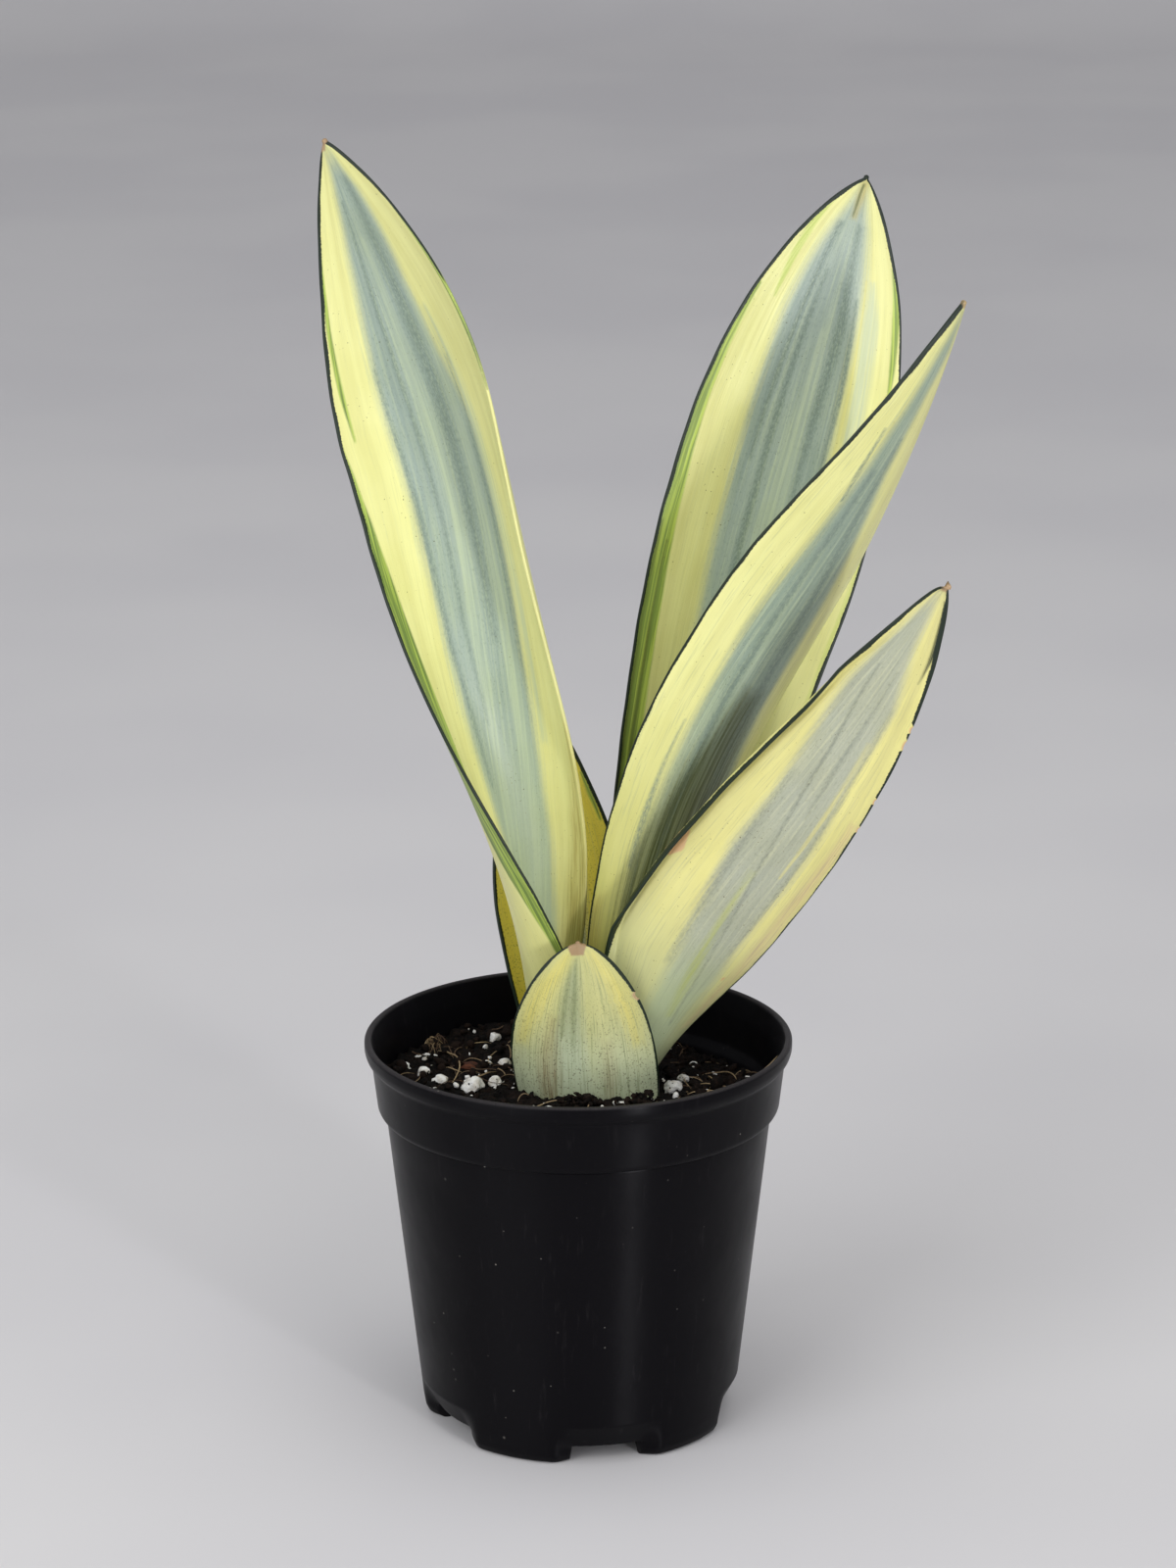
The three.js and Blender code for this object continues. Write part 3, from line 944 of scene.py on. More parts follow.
        faces = ring_faces(rows, ring)
        faces.append(tuple(range(ring))[::-1])
        faces.append(tuple((rows - 1) * ring + k for k in range(ring)))
        made = Surface(points.reshape(-1, 3), faces)
        made.values = self.paint_values(lane, run / length, length)
        return made

    def paint_values(self, lane: Array, share: Array, length: float) -> dict[str, Array]:
        """Works out the values that the skin reads.

        Args:
            lane: place across of each point, row by row.
            share: share of the length of each row.
            length: length of the blade.

        Returns:
            Named values, one for each point.
        """
        half = (self.width_at(share) / 2)[:, None]
        at = np.repeat(share[:, None], lane.shape[1], axis=1)
        left, right = read_table(self.band, at)
        band = np.minimum(lane - left, right - lane) * half
        band = np.minimum(band, (max(self.band)[0] - at) * length * self.band_close)
        line = np.where(lane < 0, *read_table(self.lines, at))
        line = line + self.round_edge * np.clip(line / self.line_rise, 0, 1)
        values = {mark.value: np.full(lane.shape, -MARK_DEPTH) for mark in Mark}
        margin = (1 - np.abs(lane)) * half
        for nick in self.nicks:
            near = 1 - (np.abs(at - nick.at) * length / (0.6 * nick.length)) ** 2
            near = np.where(lane * nick.side > 0, near, -MARK_DEPTH)
            line = np.where(near > 0, -self.bare_edge, line)
            wound = np.minimum(near, (self.wound_width - margin) / self.wound_width)
            wound = np.clip(2 * wound, -MARK_DEPTH, MARK_DEPTH)
            values[Mark.CORK.value] = np.maximum(values[Mark.CORK.value], wound)
        values |= {
            "vein": lane * self.width / 2,
            "along": at * length,
            "band": band,
            "margin": margin,
            "line": line,
            "base": smoothstep(at, *self.paling),
            "fade": smoothstep(at, *self.band_paling),
            "dust": smoothstep(at * length, *self.dusty),
        }
        for streak in self.streaks:
            middle, wide = read_table(streak.path, at)
            inside = wide / 2 - np.abs(lane - middle) * half
            inside = np.minimum(inside, (at - min(streak.path)[0]) * length + self.streak_end)
            inside = np.minimum(inside, (max(streak.path)[0] - at) * length + self.streak_end)
            inside = np.clip(inside / streak.soft, -MARK_DEPTH, MARK_DEPTH)
            values[streak.mark.value] = np.maximum(values[streak.mark.value], inside)
        return {name: numbers.ravel() for name, numbers in values.items()}

    def build(self) -> Object:
        """Makes the blade in place of its solid."""
        skin = self.skin.dress(f"{self.name}_skin")
        return self.surface().piece(self.name + "_blade", skin, "leaf_flesh", (self.name,))


DARK, PALE, LIME, GREEN, CORK, DRY, YELLOW, OLIVE, TAN = Mark  # short names for the tables below

TALL_LEFT = Blade(
    "leaf_tall_left", (-7.6, 1, 82), (-34, -3, 272), (-13.5, 22, 241), (-68, 26, 360),
    63, 0.36, 0.69, 0.54, 2.1, 0.79, (145, -36), 4.0, (235, 4), 0.68,
    band=((0.10, 0.6, 0.75), (0.15, 0.35, 0.65), (0.20, 0.08, 0.6), (0.25, -0.05, 0.55), (0.30, -0.18, 0.5),
          (0.35, -0.28, 0.44), (0.40, -0.36, 0.42), (0.50, -0.44, 0.38), (0.60, -0.5, 0.37),
          (0.70, -0.54, 0.38), (0.78, -0.55, 0.27), (0.85, -0.5, 0.28), (0.90, -0.46, 0.36),
          (0.95, -0.4, 0.42), (0.985, -0.3, 0.3)),
    lines=((0.0, 0.2, -0.3), (0.4, 0.3, -0.3), (0.6, 0.5, -0.3), (0.8, 0.8, -0.1), (0.85, 0.9, 0.04),
           (0.93, 1.1, 0.1), (0.955, 1.2, 0.35), (0.985, 1.0, 0.6), (1.0, 0.6, 0.6)),
    streaks=(
        Streak(DARK, ((0.36, -0.2, 0.8), (0.5, -0.38, 1.6), (0.62, -0.46, 1.5), (0.72, -0.5, 1.2),
                      (0.78, -0.51, 0.6)), 1.0),
        Streak(DARK, ((0.5, 0.08, 1.0), (0.62, 0.03, 3.4), (0.8, 0.06, 4.6), (0.9, 0.1, 3.4),
                      (0.96, 0.16, 1.5)), 2.4),
        Streak(DARK, ((0.42, -0.12, 0.6), (0.52, -0.22, 1.2), (0.66, -0.28, 1.4), (0.84, -0.3, 1.4),
                      (0.94, -0.24, 0.8)), 0.9),
        Streak(DARK, ((0.42, 0.37, 0.6), (0.55, 0.31, 1.2), (0.68, 0.31, 1.2), (0.77, 0.35, 0.6)), 1.2),
        Streak(PALE, ((0.3, 0.0, 2), (0.5, -0.12, 3.4), (0.75, -0.14, 3), (0.9, -0.1, 1)), 1.6),
        Streak(PALE, ((0.3, 0.3, 3), (0.5, 0.2, 4), (0.65, 0.18, 2.6), (0.85, 0.24, 1.4)), 1.4),
        Streak(PALE, ((0.4, 0.5, 2), (0.7, 0.4, 4), (0.77, 0.36, 4), (0.82, 0.36, 1.2)), 2.2),
        Streak(GREEN, ((0.72, -0.855, 0.5), (0.77, -0.885, 1.4), (0.84, -0.925, 1.3), (0.9, -0.96, 0.9),
                       (0.95, -0.98, 0.5)), 0.4),
        Streak(GREEN, ((0.06, -1, 2.4), (0.16, -1, 3), (0.22, -1, 6), (0.28, -1, 12), (0.35, -1, 17),
                       (0.42, -1, 17), (0.5, -1, 13), (0.58, -1, 8.4), (0.66, -1, 4),
                       (0.72, -1, 1.6)), 0.5),
        Streak(LIME, ((0.28, -0.87, 0.8), (0.36, -0.81, 2.4), (0.44, -0.82, 2.4), (0.52, -0.88, 1.2)), 0.6),
        Streak(GREEN, ((0.73, 1.0, 0.1), (0.79, 0.99, 1.0), (0.86, 0.985, 1.0), (0.92, 0.99, 0.2)), 0.4),
        # tan on the lower right margin: partly the blade's own tinge, partly painted shade where that wall
        # turns away from the light
        Streak(TAN, ((0.08, 0.85, 4), (0.2, 0.88, 8), (0.32, 0.92, 6), (0.42, 0.97, 2)), 3.0),
        Streak(DRY, ((0.993, -0.6, 2.4), (1.02, -0.3, 2.8)), 0.5),
    ),
    skin=LeafSkin(haired=0.07),
    band_paling=(0.5, 0.12),
)
TALL_BACK = Blade(
    "leaf_tall_back", (5, 15.6, 82), (33, 21, 172), (55, 31, 273), (80.5, 46, 346),
    60, 0.3, 0.64, 1.55, 2.2, 0.82, (-30, 14), 1.4, (95, 15), 1.2,
    band=((0.2, -0.3, 0.3), (0.5, -0.38, 0.4), (0.6, -0.42, 0.41), (0.7, -0.43, 0.42), (0.8, -0.47, 0.43),
          (0.85, -0.5, 0.45), (0.9, -0.5, 0.46), (0.95, -0.45, 0.45), (0.985, -0.3, 0.3)),
    lines=((0.0, 0.4, 0.5), (0.55, 0.45, 0.5), (0.68, 0.45, 0.3), (0.88, 0.4, 0.3), (0.94, 0.6, 0.6),
           (0.98, 0.8, 0.7), (1.0, 0.6, 0.6)),
    streaks=(
        Streak(PALE, ((0.68, 0.58, 1), (0.72, 0.6, 4), (0.86, 0.6, 4), (0.9, 0.58, 1)), 1.2),
        Streak(DARK, ((0.5, -0.17, 1), (0.6, -0.17, 2), (0.85, -0.17, 1.6), (0.9, -0.15, 0.8)), 1.0),
        Streak(DARK, ((0.7, -0.3, 0.8), (0.8, -0.3, 2), (0.95, -0.28, 1.6)), 1.0),
        Streak(DARK, ((0.65, 0.2, 1), (0.75, 0.2, 2.4), (0.85, 0.24, 3), (0.95, 0.2, 1.4)), 1.4),
        Streak(DARK, ((0.7, 0.38, 0.6), (0.78, 0.4, 1.4), (0.88, 0.38, 0.8)), 0.8),
        Streak(PALE, ((0.45, 0.0, 3), (0.56, 0.04, 7), (0.66, 0.06, 6), (0.76, 0.06, 2.6),
                      (0.84, 0.05, 0.8)), 1.8),
        Streak(LIME, ((0.862, -0.68, 0.4), (0.89, -0.73, 1.5), (0.93, -0.81, 2.0), (0.955, -0.9, 1.8),
                      (0.975, -0.97, 1.4)), 0.5),
        Streak(GREEN, ((0.06, -1, 0.6), (0.15, -1, 4), (0.25, -1, 8.6), (0.35, -1, 12), (0.52, -1, 12.6),
                       (0.6, -1, 11), (0.68, -1, 9), (0.75, -1, 7), (0.81, -1, 5), (0.87, -1, 2.8)), 0.5),
        Streak(OLIVE, ((0.1, -0.98, 0.2), (0.3, -0.96, 1.4), (0.5, -0.965, 1.2), (0.62, -0.965, 0.5)), 0.7),
        Streak(OLIVE, ((0.2, -0.88, 0.2), (0.35, -0.86, 1.0), (0.5, -0.86, 0.9), (0.6, -0.875, 0.3)), 0.7),
        Streak(LIME, ((0.2, -0.9, 0.2), (0.35, -0.83, 0.8), (0.5, -0.83, 1.1), (0.64, -0.865, 0.9),
                      (0.76, -0.915, 0.6)), 0.4),
        Streak(GREEN, ((0.785, 0.885, 0.4), (0.82, 0.9, 1.5), (0.87, 0.925, 2.0), (0.92, 0.96, 1.2)), 0.4),
        Streak(LIME, ((0.25, 0.94, 0.2), (0.42, 0.95, 1.0), (0.55, 0.96, 1.0), (0.63, 0.97, 0.2)), 0.8),
        Streak(TAN, ((0.958, 0.0, 1.4), (0.98, 0.0, 2.4), (1.01, 0.0, 2.4)), 1.0),
        Streak(OLIVE, ((0.96, -0.05, 0.4), (0.975, -0.06, 0.6), (0.992, -0.1, 0.7)), 0.3),
        Streak(YELLOW, ((0.66, 0.47, 0.2), (0.78, 0.475, 0.7), (0.9, 0.48, 0.2)), 0.7),
    ),
    skin=LeafSkin(haired=0.08, band=tone(162, 177, 165), band_pale=tone(190, 203, 174),
                  lime=tone(182, 202, 88), green=tone(124, 148, 64), olive=tone(88, 98, 48)),
)
RIGHT = Blade(
    "leaf_right", (12.5, 0, 82), (14, 1, 208.5), (72, -4, 230.5), (103.5, -13, 322.5),
    45.5, 0.35, 0.66, 0.7, 1.46, 0.71, (189, 240.5), 1.02, (110, 64), 1.29,
    band=((0.1, -0.55, 0.45), (0.2, -0.58, 0.45), (0.25, -0.6, 0.5), (0.3, -0.6, 0.48), (0.35, -0.6, 0.45),
          (0.4, -0.6, 0.43), (0.45, -0.55, 0.43), (0.5, -0.5, 0.45), (0.6, -0.45, 0.48), (0.65, -0.4, 0.45),
          (0.7, -0.33, 0.42), (0.75, -0.2, 0.42), (0.8, -0.05, 0.42), (0.85, 0.0, 0.45), (0.9, 0.0, 0.45),
          (0.95, -0.2, 0.42), (0.985, -0.1, 0.2)),
    lines=((0.0, 0.2, 0.45), (0.5, 0.25, 0.45), (0.8, 0.3, 0.5), (0.9, 0.3, 0.7), (0.94, 0.3, 1.3),
           (0.975, 0.3, 1.1), (1.0, 0.2, 0.4)),
    streaks=(
        Streak(DARK, ((0.3, 0.5, 0.6), (0.36, 0.52, 1.3), (0.47, 0.52, 0.6)), 0.8),
        Streak(DARK, ((0.76, 0.43, 0.6), (0.8, 0.5, 1.2), (0.85, 0.58, 0.6)), 0.6),
        Streak(DARK, ((0.2, -0.2, 2), (0.4, -0.3, 3), (0.6, -0.2, 3), (0.75, 0.0, 2),
                      (0.84, 0.08, 1)), 1.4),
        Streak(DARK, ((0.2, 0.2, 2), (0.4, 0.15, 2.4), (0.6, 0.2, 2.2), (0.8, 0.25, 1.4)), 1.2),
        Streak(PALE, ((0.42, 0.1, 1), (0.55, 0.12, 2), (0.7, 0.2, 1.4)), 0.9),
        # painted shade: the lower band turned dark olive where it lies deep in its channel and in
        # leaf_low_right's shadow
        Streak(OLIVE, ((0.1, -0.1, 16), (0.2, -0.1, 22), (0.3, -0.1, 22), (0.4, -0.12, 17),
                       (0.52, -0.18, 6)), 5.0),
        Streak(TAN, ((0.04, 0.8, 5), (0.14, 0.86, 6), (0.26, 0.9, 3)), 3.0),
        Streak(DRY, ((0.9965, 0.0, 1.2), (1.02, 0.0, 1.6)), 0.4),
    ),
    # painted shade: the dark olive-yellow foot tone, blended in below about half the length, darkens the lower
    # blade where it lies among its neighbours, and the band hardly pales at its foot so that its painted shade
    # stays
    skin=LeafSkin(haired=0.2, foot=tone(180, 178, 94), band=tone(146, 163, 146),
                  band_deep=tone(126, 143, 130), dry=tone(190, 164, 116)),
    paling=(0.55, 0.12),
    band_paling=(0.12, 0.0),
)
LOW_RIGHT = Blade(
    "leaf_low_right", (9, -7.3, 83), (16, -11, 143.5), (60, -27, 173), (98, -43, 253),
    42.7, 0.39, 0.42, 1.93, 1.97, 0.69, (197.5, 163), 1.54, (120, 26.5), 1.0,
    band=((0.1, -0.5, 0.0), (0.2, -0.55, 0.1), (0.3, -0.6, 0.1), (0.35, -0.55, 0.15), (0.4, -0.55, 0.2),
          (0.5, -0.58, 0.35), (0.6, -0.55, 0.35), (0.7, -0.45, 0.5), (0.8, -0.5, 0.62), (0.85, -0.35, 0.65),
          (0.9, -0.2, 0.68), (0.95, -0.15, 0.6), (0.985, 0.0, 0.4)),
    lines=((0.0, 0.4, 0.35), (0.2, 0.5, 0.6), (0.35, 0.55, 1.2), (0.5, 0.4, 1.1), (0.6, 0.45, 0.6),
           (0.8, 0.9, 0.7), (0.9, 1.2, 0.8), (0.96, 1.2, 0.9), (0.985, 0.6, 0.5), (1.0, 0.2, 0.2)),
    streaks=(
        Streak(DARK, ((0.2, -0.4, 0.4), (0.4, -0.24, 0.6), (0.5, -0.1, 0.8), (0.6, 0.02, 0.8),
                      (0.7, 0.12, 0.8), (0.85, 0.35, 0.6)), 0.5),
        Streak(DARK, ((0.3, 0.12, 0), (0.42, 0.17, 0.8), (0.52, 0.25, 1.0), (0.64, 0.32, 0)), 2.2),
        Streak(DARK, ((0.35, -0.5, 0), (0.5, -0.53, 0.7), (0.65, -0.5, 0.8), (0.8, -0.43, 0)), 1.4),
        Streak(DARK, ((0.6, -0.2, 0), (0.7, -0.12, 1), (0.85, -0.1, 0)), 1.4),
        Streak(YELLOW, ((0.5, -0.42, 0.3), (0.62, -0.42, 0.8), (0.74, -0.36, 0.3)), 1.0),
        Streak(LIME, ((0.22, -0.3, 0.6), (0.31, -0.2, 2.2), (0.38, -0.14, 1.0), (0.48, -0.06, 0.3)), 1.8),
        Streak(CORK, ((0.3, -0.68, 0.7), (0.306, -0.68, 0.9)), 0.4),
        Streak(OLIVE, ((0.855, -0.7, 0.3), (0.9, -0.77, 1.4), (0.94, -0.84, 2.4),
                       (0.975, -0.88, 2.2)), 0.4),
        Streak(CORK, ((0.42, 0.87, 2.0), (0.44, 0.86, 6.0), (0.465, 0.87, 2.4)), 0.4),
        Streak(TAN, ((0.2, -0.8, 2), (0.45, -0.84, 3.4), (0.62, -0.88, 1.6)), 2.0),
        Streak(DRY, ((0.992, 0.0, 2.2), (1.02, 0.0, 2.4)), 0.5),
    ),
    skin=LeafSkin(haired=0.2, cream=tone(226, 220, 142), cream_shade=tone(212, 206, 136),
                  foot=tone(170, 181, 140), band=tone(171, 175, 154), band_deep=tone(152, 157, 142),
                  band_pale=tone(194, 196, 164), dark=tone(126, 132, 118), lime=tone(170, 178, 92),
                  olive=tone(34, 46, 22), tan=tone(206, 184, 138), cork=tone(212, 170, 124)),
    paling=(0.45, 0.1),
    band_paling=(0.36, 0.2),
    nicks=(Nick(0.79, -1, 0.2, 1.6), Nick(0.765, -1, 0.2, 2.4), Nick(0.67, -1, 0.22, 1.6),
           Nick(0.62, -1, 0.2, 1.4)),
    roll=Roll(0.2, 1.0, 4.0, 1.1, 150),
)
SHORT_FRONT = Blade(
    "leaf_short_front", (3.5, -19, 80), (-0.5, -22, 110), (1.5, -23, 121), (0, -22, 146),
    45, 0.86, 0.32, 1.0, 2.0, 0.58, (164, 183), 1.5, (110, 60), 1.3,
    band=((0.3, -0.1, 0.3), (0.6, -0.05, 0.35), (0.85, -0.03, 0.3), (0.96, 0.05, 0.2)),
    lines=((0.0, 0.5, 0.5), (0.5, 0.7, 0.6), (0.7, 0.9, 0.7), (0.85, 1.1, 0.8), (0.95, 1.2, 0.9),
           (1.0, 0.8, 0.7)),
    streaks=(
        Streak(DARK, ((0.55, 0.1, 0.5), (0.75, 0.1, 1.0), (0.93, 0.1, 0.5)), 0.8),
        Streak(DARK, ((0.6, 0.25, 0.4), (0.75, 0.25, 0.9), (0.9, 0.22, 0.4)), 0.8),
        Streak(TAN, ((0.1, 0.42, 2), (0.4, 0.42, 6), (0.66, 0.4, 1)), 3.0),
        Streak(TAN, ((0.1, -0.3, 0), (0.4, -0.34, 1.6), (0.55, -0.34, 0)), 3.0),
        Streak(YELLOW, ((0.55, -0.75, 2), (0.8, -0.66, 5), (0.96, -0.5, 3)), 3.0),
        Streak(YELLOW, ((0.55, 0.8, 3), (0.82, 0.66, 6), (0.96, 0.4, 3)), 3.0),
        Streak(DRY, ((0.958, 0.05, 3.6), (0.985, 0.1, 5.0), (1.02, 0.1, 5.0)), 0.4),
    ),
    nicks=(Nick(0.745, -1, 0.7, 2.0),),
    skin=LeafSkin(haired=0.45, cream=tone(204, 202, 134), cream_shade=tone(190, 190, 126),
                  band=tone(158, 166, 124), band_deep=tone(140, 150, 108), band_pale=tone(186, 190, 146),
                  band_foot=tone(192, 203, 172), foot=tone(192, 203, 170), dark=tone(118, 128, 84),
                  yellow=tone(220, 206, 98), tan=tone(134, 112, 78), dry=tone(158, 130, 94),
                  speck=tone(70, 60, 34)),
    paling=(0.75, 0.3),
    band_paling=(0.75, 0.25),
    dusty=(78, 20),
    row_pitch=0.7,
    wound_width=1.2,
)
SHORT_BACK = Blade(
    "leaf_short_back", (-3, 20, 79), (-3, 24, 126), (-8, 29, 160), (-13, 33, 203),
    40.5, 0.55, 0.52, 1.25, 1.5, 0.76, (25, 9), 1.5, (95, 50), 1.3,
    band=((0.1, -0.4, 0.4), (0.6, -0.4, 0.4), (0.9, -0.3, 0.3), (0.96, -0.1, 0.1)),
    lines=((0.0, 0.4, 0.4), (0.6, 0.6, 0.5), (0.9, 0.8, 0.8), (1.0, 0.7, 0.7)),
    streaks=(Streak(GREEN, ((0.69, 0.9, 0.6), (0.75, 0.9, 1.6), (0.8, 0.9, 0.6)), 0.5),),
    skin=LeafSkin(cream=tone(250, 232, 94), cream_shade=tone(240, 220, 82), foot=tone(246, 228, 84)),
    paling=(0.3, 0.0),
    dusty=(130, 20),
    row_pitch=0.9,
)
LEAVES = (TALL_LEFT, TALL_BACK, RIGHT, LOW_RIGHT, SHORT_FRONT, SHORT_BACK)


# ------------------------------------------------------------------ pot


@dataclass
class Pot:
    """The nursery pot: a turned shell with a collar, a rim bead and five notches that leave feet."""

    rim_radius: float = 60.0
    height: float = 111.6
    wall: float = 1.5
    floor_under: float = 5.0
    body_low: Pair = (45.4, 12.6)
    body_high: Pair = (54.2, 90.4)
    collar_low: Pair = (56.5, 92.4)
    collar_high: Pair = (58.1, 105.8)
    ledge: Pair = (55.4, 96.0)
    ledge_inner: Pair = (53.6, 93.5)
    notches: int = 5
    notch_middle: float = 10.5
    notch_width: float = 31.5
    notch_top: float = 12.0
    notch_depth: float = 3.4
    notch_lip: float = 4.4
    notch_corner: float = 7.0
    slot_radius: float = 32.0
    slot_length: float = 8.0
    slot_width: float = 5.0
    notch_inside: float = 36.0
    corner_cut: float = 0.55
    fine_below: float = 13.0
    fine_pitch: float = 0.7
    coarse_pitch: float = 6.0
    sharp_angle: float = 50.0
    worn_rim: float = 0.85
    worn_foot: float = 0.25
    columns: int = 320

    def inner_wall(self) -> list[Pair]:
        """The inner wall from the floor up, as (radius, height)."""
        low, high = self.body_low, self.body_high
        top = self.floor_under + self.wall
        return [
            (low[0] - self.wall - 1.9, top),
            (low[0] - self.wall - 0.9, top + 0.9),
            (low[0] - self.wall, low[1]),
            (high[0] - self.wall, high[1] - 0.4),
            self.ledge_inner,
            self.ledge,
            (self.collar_high[0] - self.wall, self.collar_high[1] - 0.8),
            (57.9, self.height - 0.6),
        ]

    def profile(self) -> list[Pair]:
        """The outline of the shell, from the axis under the floor to the axis above it."""
        return [
            (0, self.floor_under), (39.9, self.floor_under), (40.5, 0), (42.1, 0), (43.2, 0.6), (44.1, 2.4),
            (44.7, 6.0), self.body_low, self.body_high, (54.0, 91.0), (55.8, 91.2), self.collar_low,
            self.collar_high, (59.5, 107.2), (self.rim_radius, 108.8), (self.rim_radius, self.height - 0.6),
            (59.5, self.height), (58.3, self.height), *self.inner_wall()[::-1],
            (0, self.floor_under + self.wall),
        ]  # fmt: skip

    def smooth_profile(self) -> list[Pair]:
        """Rounds the corners of the outline and cuts its lower part into short steps.

        Returns:
            The finer outline, as (radius, height).
        """
        corners = np.array(self.profile(), float)
        line = [corners[0]]
        for before, corner, after in zip(corners, corners[1:], corners[2:]):
            into, out = before - corner, after - corner
            cut = min(self.corner_cut, 0.4 * np.linalg.norm(into), 0.4 * np.linalg.norm(out))
            first = corner + into / np.linalg.norm(into) * cut
            last = corner + out / np.linalg.norm(out) * cut
            for k in (0, 0.33, 0.67, 1):
                line.append(first * (1 - k) ** 2 + 2 * corner * k * (1 - k) + last * k * k)
        line.append(corners[-1])
        steps = [line[0]]
        for start, end in zip(line, line[1:]):
            low = min(start[1], end[1]) < self.fine_below and min(start[0], end[0]) > self.notch_inside
            pitch = self.fine_pitch if low else self.coarse_pitch
            on_axis = min(start[0], end[0]) <= 1
            count = 1 if on_axis else max(1, math.ceil(np.linalg.norm(end - start) / pitch))
            steps += [start + (end - start) * k / count for k in range(1, count + 1)]
        return [(float(radius), float(height)) for radius, height in steps]

    def into_notch(self, angle: Array) -> Array:
        """Degrees from a foot into the nearest notch; negative on the foot."""
        pitch = 360 / self.notches
        offset = (angle - self.notch_middle + pitch / 2) % pitch - pitch / 2
        return self.notch_width / 2 - np.abs(offset)

    def cut_notches(self, points: Array) -> Array:
        """Stands the wall back at each notch and lifts its lower edge.

        Args:
            points: places on the turned shell.

        Returns:
            The same places, moved.
        """
        x, y, z = points.T
        radius = np.hypot(x, y)
        angle = np.degrees(np.arctan2(x, -y))
        into = self.into_notch(angle)
        cut = (radius >= self.notch_inside) & (z < self.notch_top)
        down = np.minimum((self.notch_top - z) / (self.notch_top - self.notch_lip), 1)
        back = self.notch_depth * smoothstep(into, -self.notch_corner + 1.2, self.notch_corner - 3.0) * down
        radius = np.where(cut, radius - back, radius)
        lifted = cut & (into > 1.6) & (z < self.notch_lip)
        z = np.where(lifted, self.notch_lip + 0.1 * z, z)
        turn = np.radians(angle)
        return np.stack([radius * np.sin(turn), -radius * np.cos(turn), z], -1)

    def drain_slot(self, angle: float) -> Object:
        """Makes the cutter of one drain slot.

        Args:
            angle: where the slot lies, in degrees from the front.

        Returns:
            The cutter, as an object in the scene.
        """
        half, radius = self.slot_length / 2, self.slot_width / 2
        arc = np.radians(np.arange(0, 181, 20))
        outline = [(radius * math.cos(a), half + radius * math.sin(a)) for a in arc]
        outline += [(-radius * math.cos(a), -half - radius * math.sin(a)) for a in arc]
        turn = math.radians(angle)
        rows = []
        for height in (self.floor_under - self.wall, self.floor_under + 3 * self.wall):
            for x, y in outline:
                r = self.slot_radius + y
                right = r * math.sin(turn) + x * math.cos(turn)
                back = -r * math.cos(turn) + x * math.sin(turn)
                rows.append((right, back, height))
        count = len(outline)
        faces = ring_faces(2, count) + [tuple(range(count))[::-1], tuple(range(count, 2 * count))]
        return Surface(np.array(rows), faces).plain("slot_cutter")

    def build(self) -> Object:
        """Makes the pot in place of its solid, and cuts its drain slots.

        Returns:
            The piece.
        """
        shell = turned(self.smooth_profile(), self.columns, self.notch_middle - self.notch_width / 2)
        shell.points = self.cut_notches(shell.points)
        x, y, z = shell.points.T
        radius = np.hypot(x, y)
        rim = smoothstep(z, 110.9, 111.5) * smoothstep(radius, 57.4, 58.2)
        foot = smoothstep(z, 1.6, 0.2) * smoothstep(radius, self.notch_inside, self.notch_inside + 2)
        shell.values["worn"] = np.maximum(self.worn_rim * rim, self.worn_foot * foot)
        pot = shell.piece("pot_shell", PotPlastic().dress("pot_black"), "pot_plastic", ("pot",))
        for index in range(self.notches):
            cutter = self.drain_slot(self.notch_middle + index * 360 / self.notches)
            cut = pot.modifiers.new("slot", "BOOLEAN")
            cut.object = cutter
            cut.solver = "EXACT"
            solved = pot.evaluated_get(bpy.context.evaluated_depsgraph_get())
            applied = bpy.data.meshes.new_from_object(solved)
            pot.modifiers.clear()
            pot.data = applied
            bpy.data.objects.remove(cutter)
        pot.data.set_sharp_from_angle(angle=math.radians(self.sharp_angle))
        log.info("pot_shell: %d drain slots", self.notches)
        return pot

    def wall_radius(self, height: Array) -> Array:
        """Radius of the inner wall at a height."""
        wall = np.array(self.inner_wall())
        return np.interp(height, wall[:, 1], wall[:, 0])


# ------------------------------------------------------------------ soil and what lies on it


PLACED_STEMS = (  # thickness, shade and keys of the stems that stand out
    (0.42, 0.35, (-39.6, 28.1, -0.9), (-35.9, 18.9, 1.9), (-33.5, 11.1, 1.8), (-33.6, 5.1, 1.3),
     (-36.4, -3.1, -0.9)),
    (0.3, 0.2, (-37.5, 11.3, -0.8), (-35.5, 6, 1.6), (-33.1, 5.7, 0.8)),
    (0.4, 0.45, (-23.1, 8, -0.8), (-25, 1.4, 1.8), (-27, -1.5, 1.6), (-30.9, -3.1, 1.0),
     (-33.9, -4.6, -0.8)),
    (0.34, 0.1, (45.8, -6, -0.8), (49.6, -1.6, 2.4), (56.1, 4.8, 7.2)),
    (0.34, 0.3, (33, 1, -0.8), (37, -1, 1.6), (42, 2, -0.8)),
    (0.34, 0.4, (28, -13, -0.8), (34, -10, 1.6), (41, -9, -0.8)),
    (0.3, 0.6, (30, -8, -0.8), (31, -12, 1.5), (27, -15, -0.8)),
)  # fmt: skip


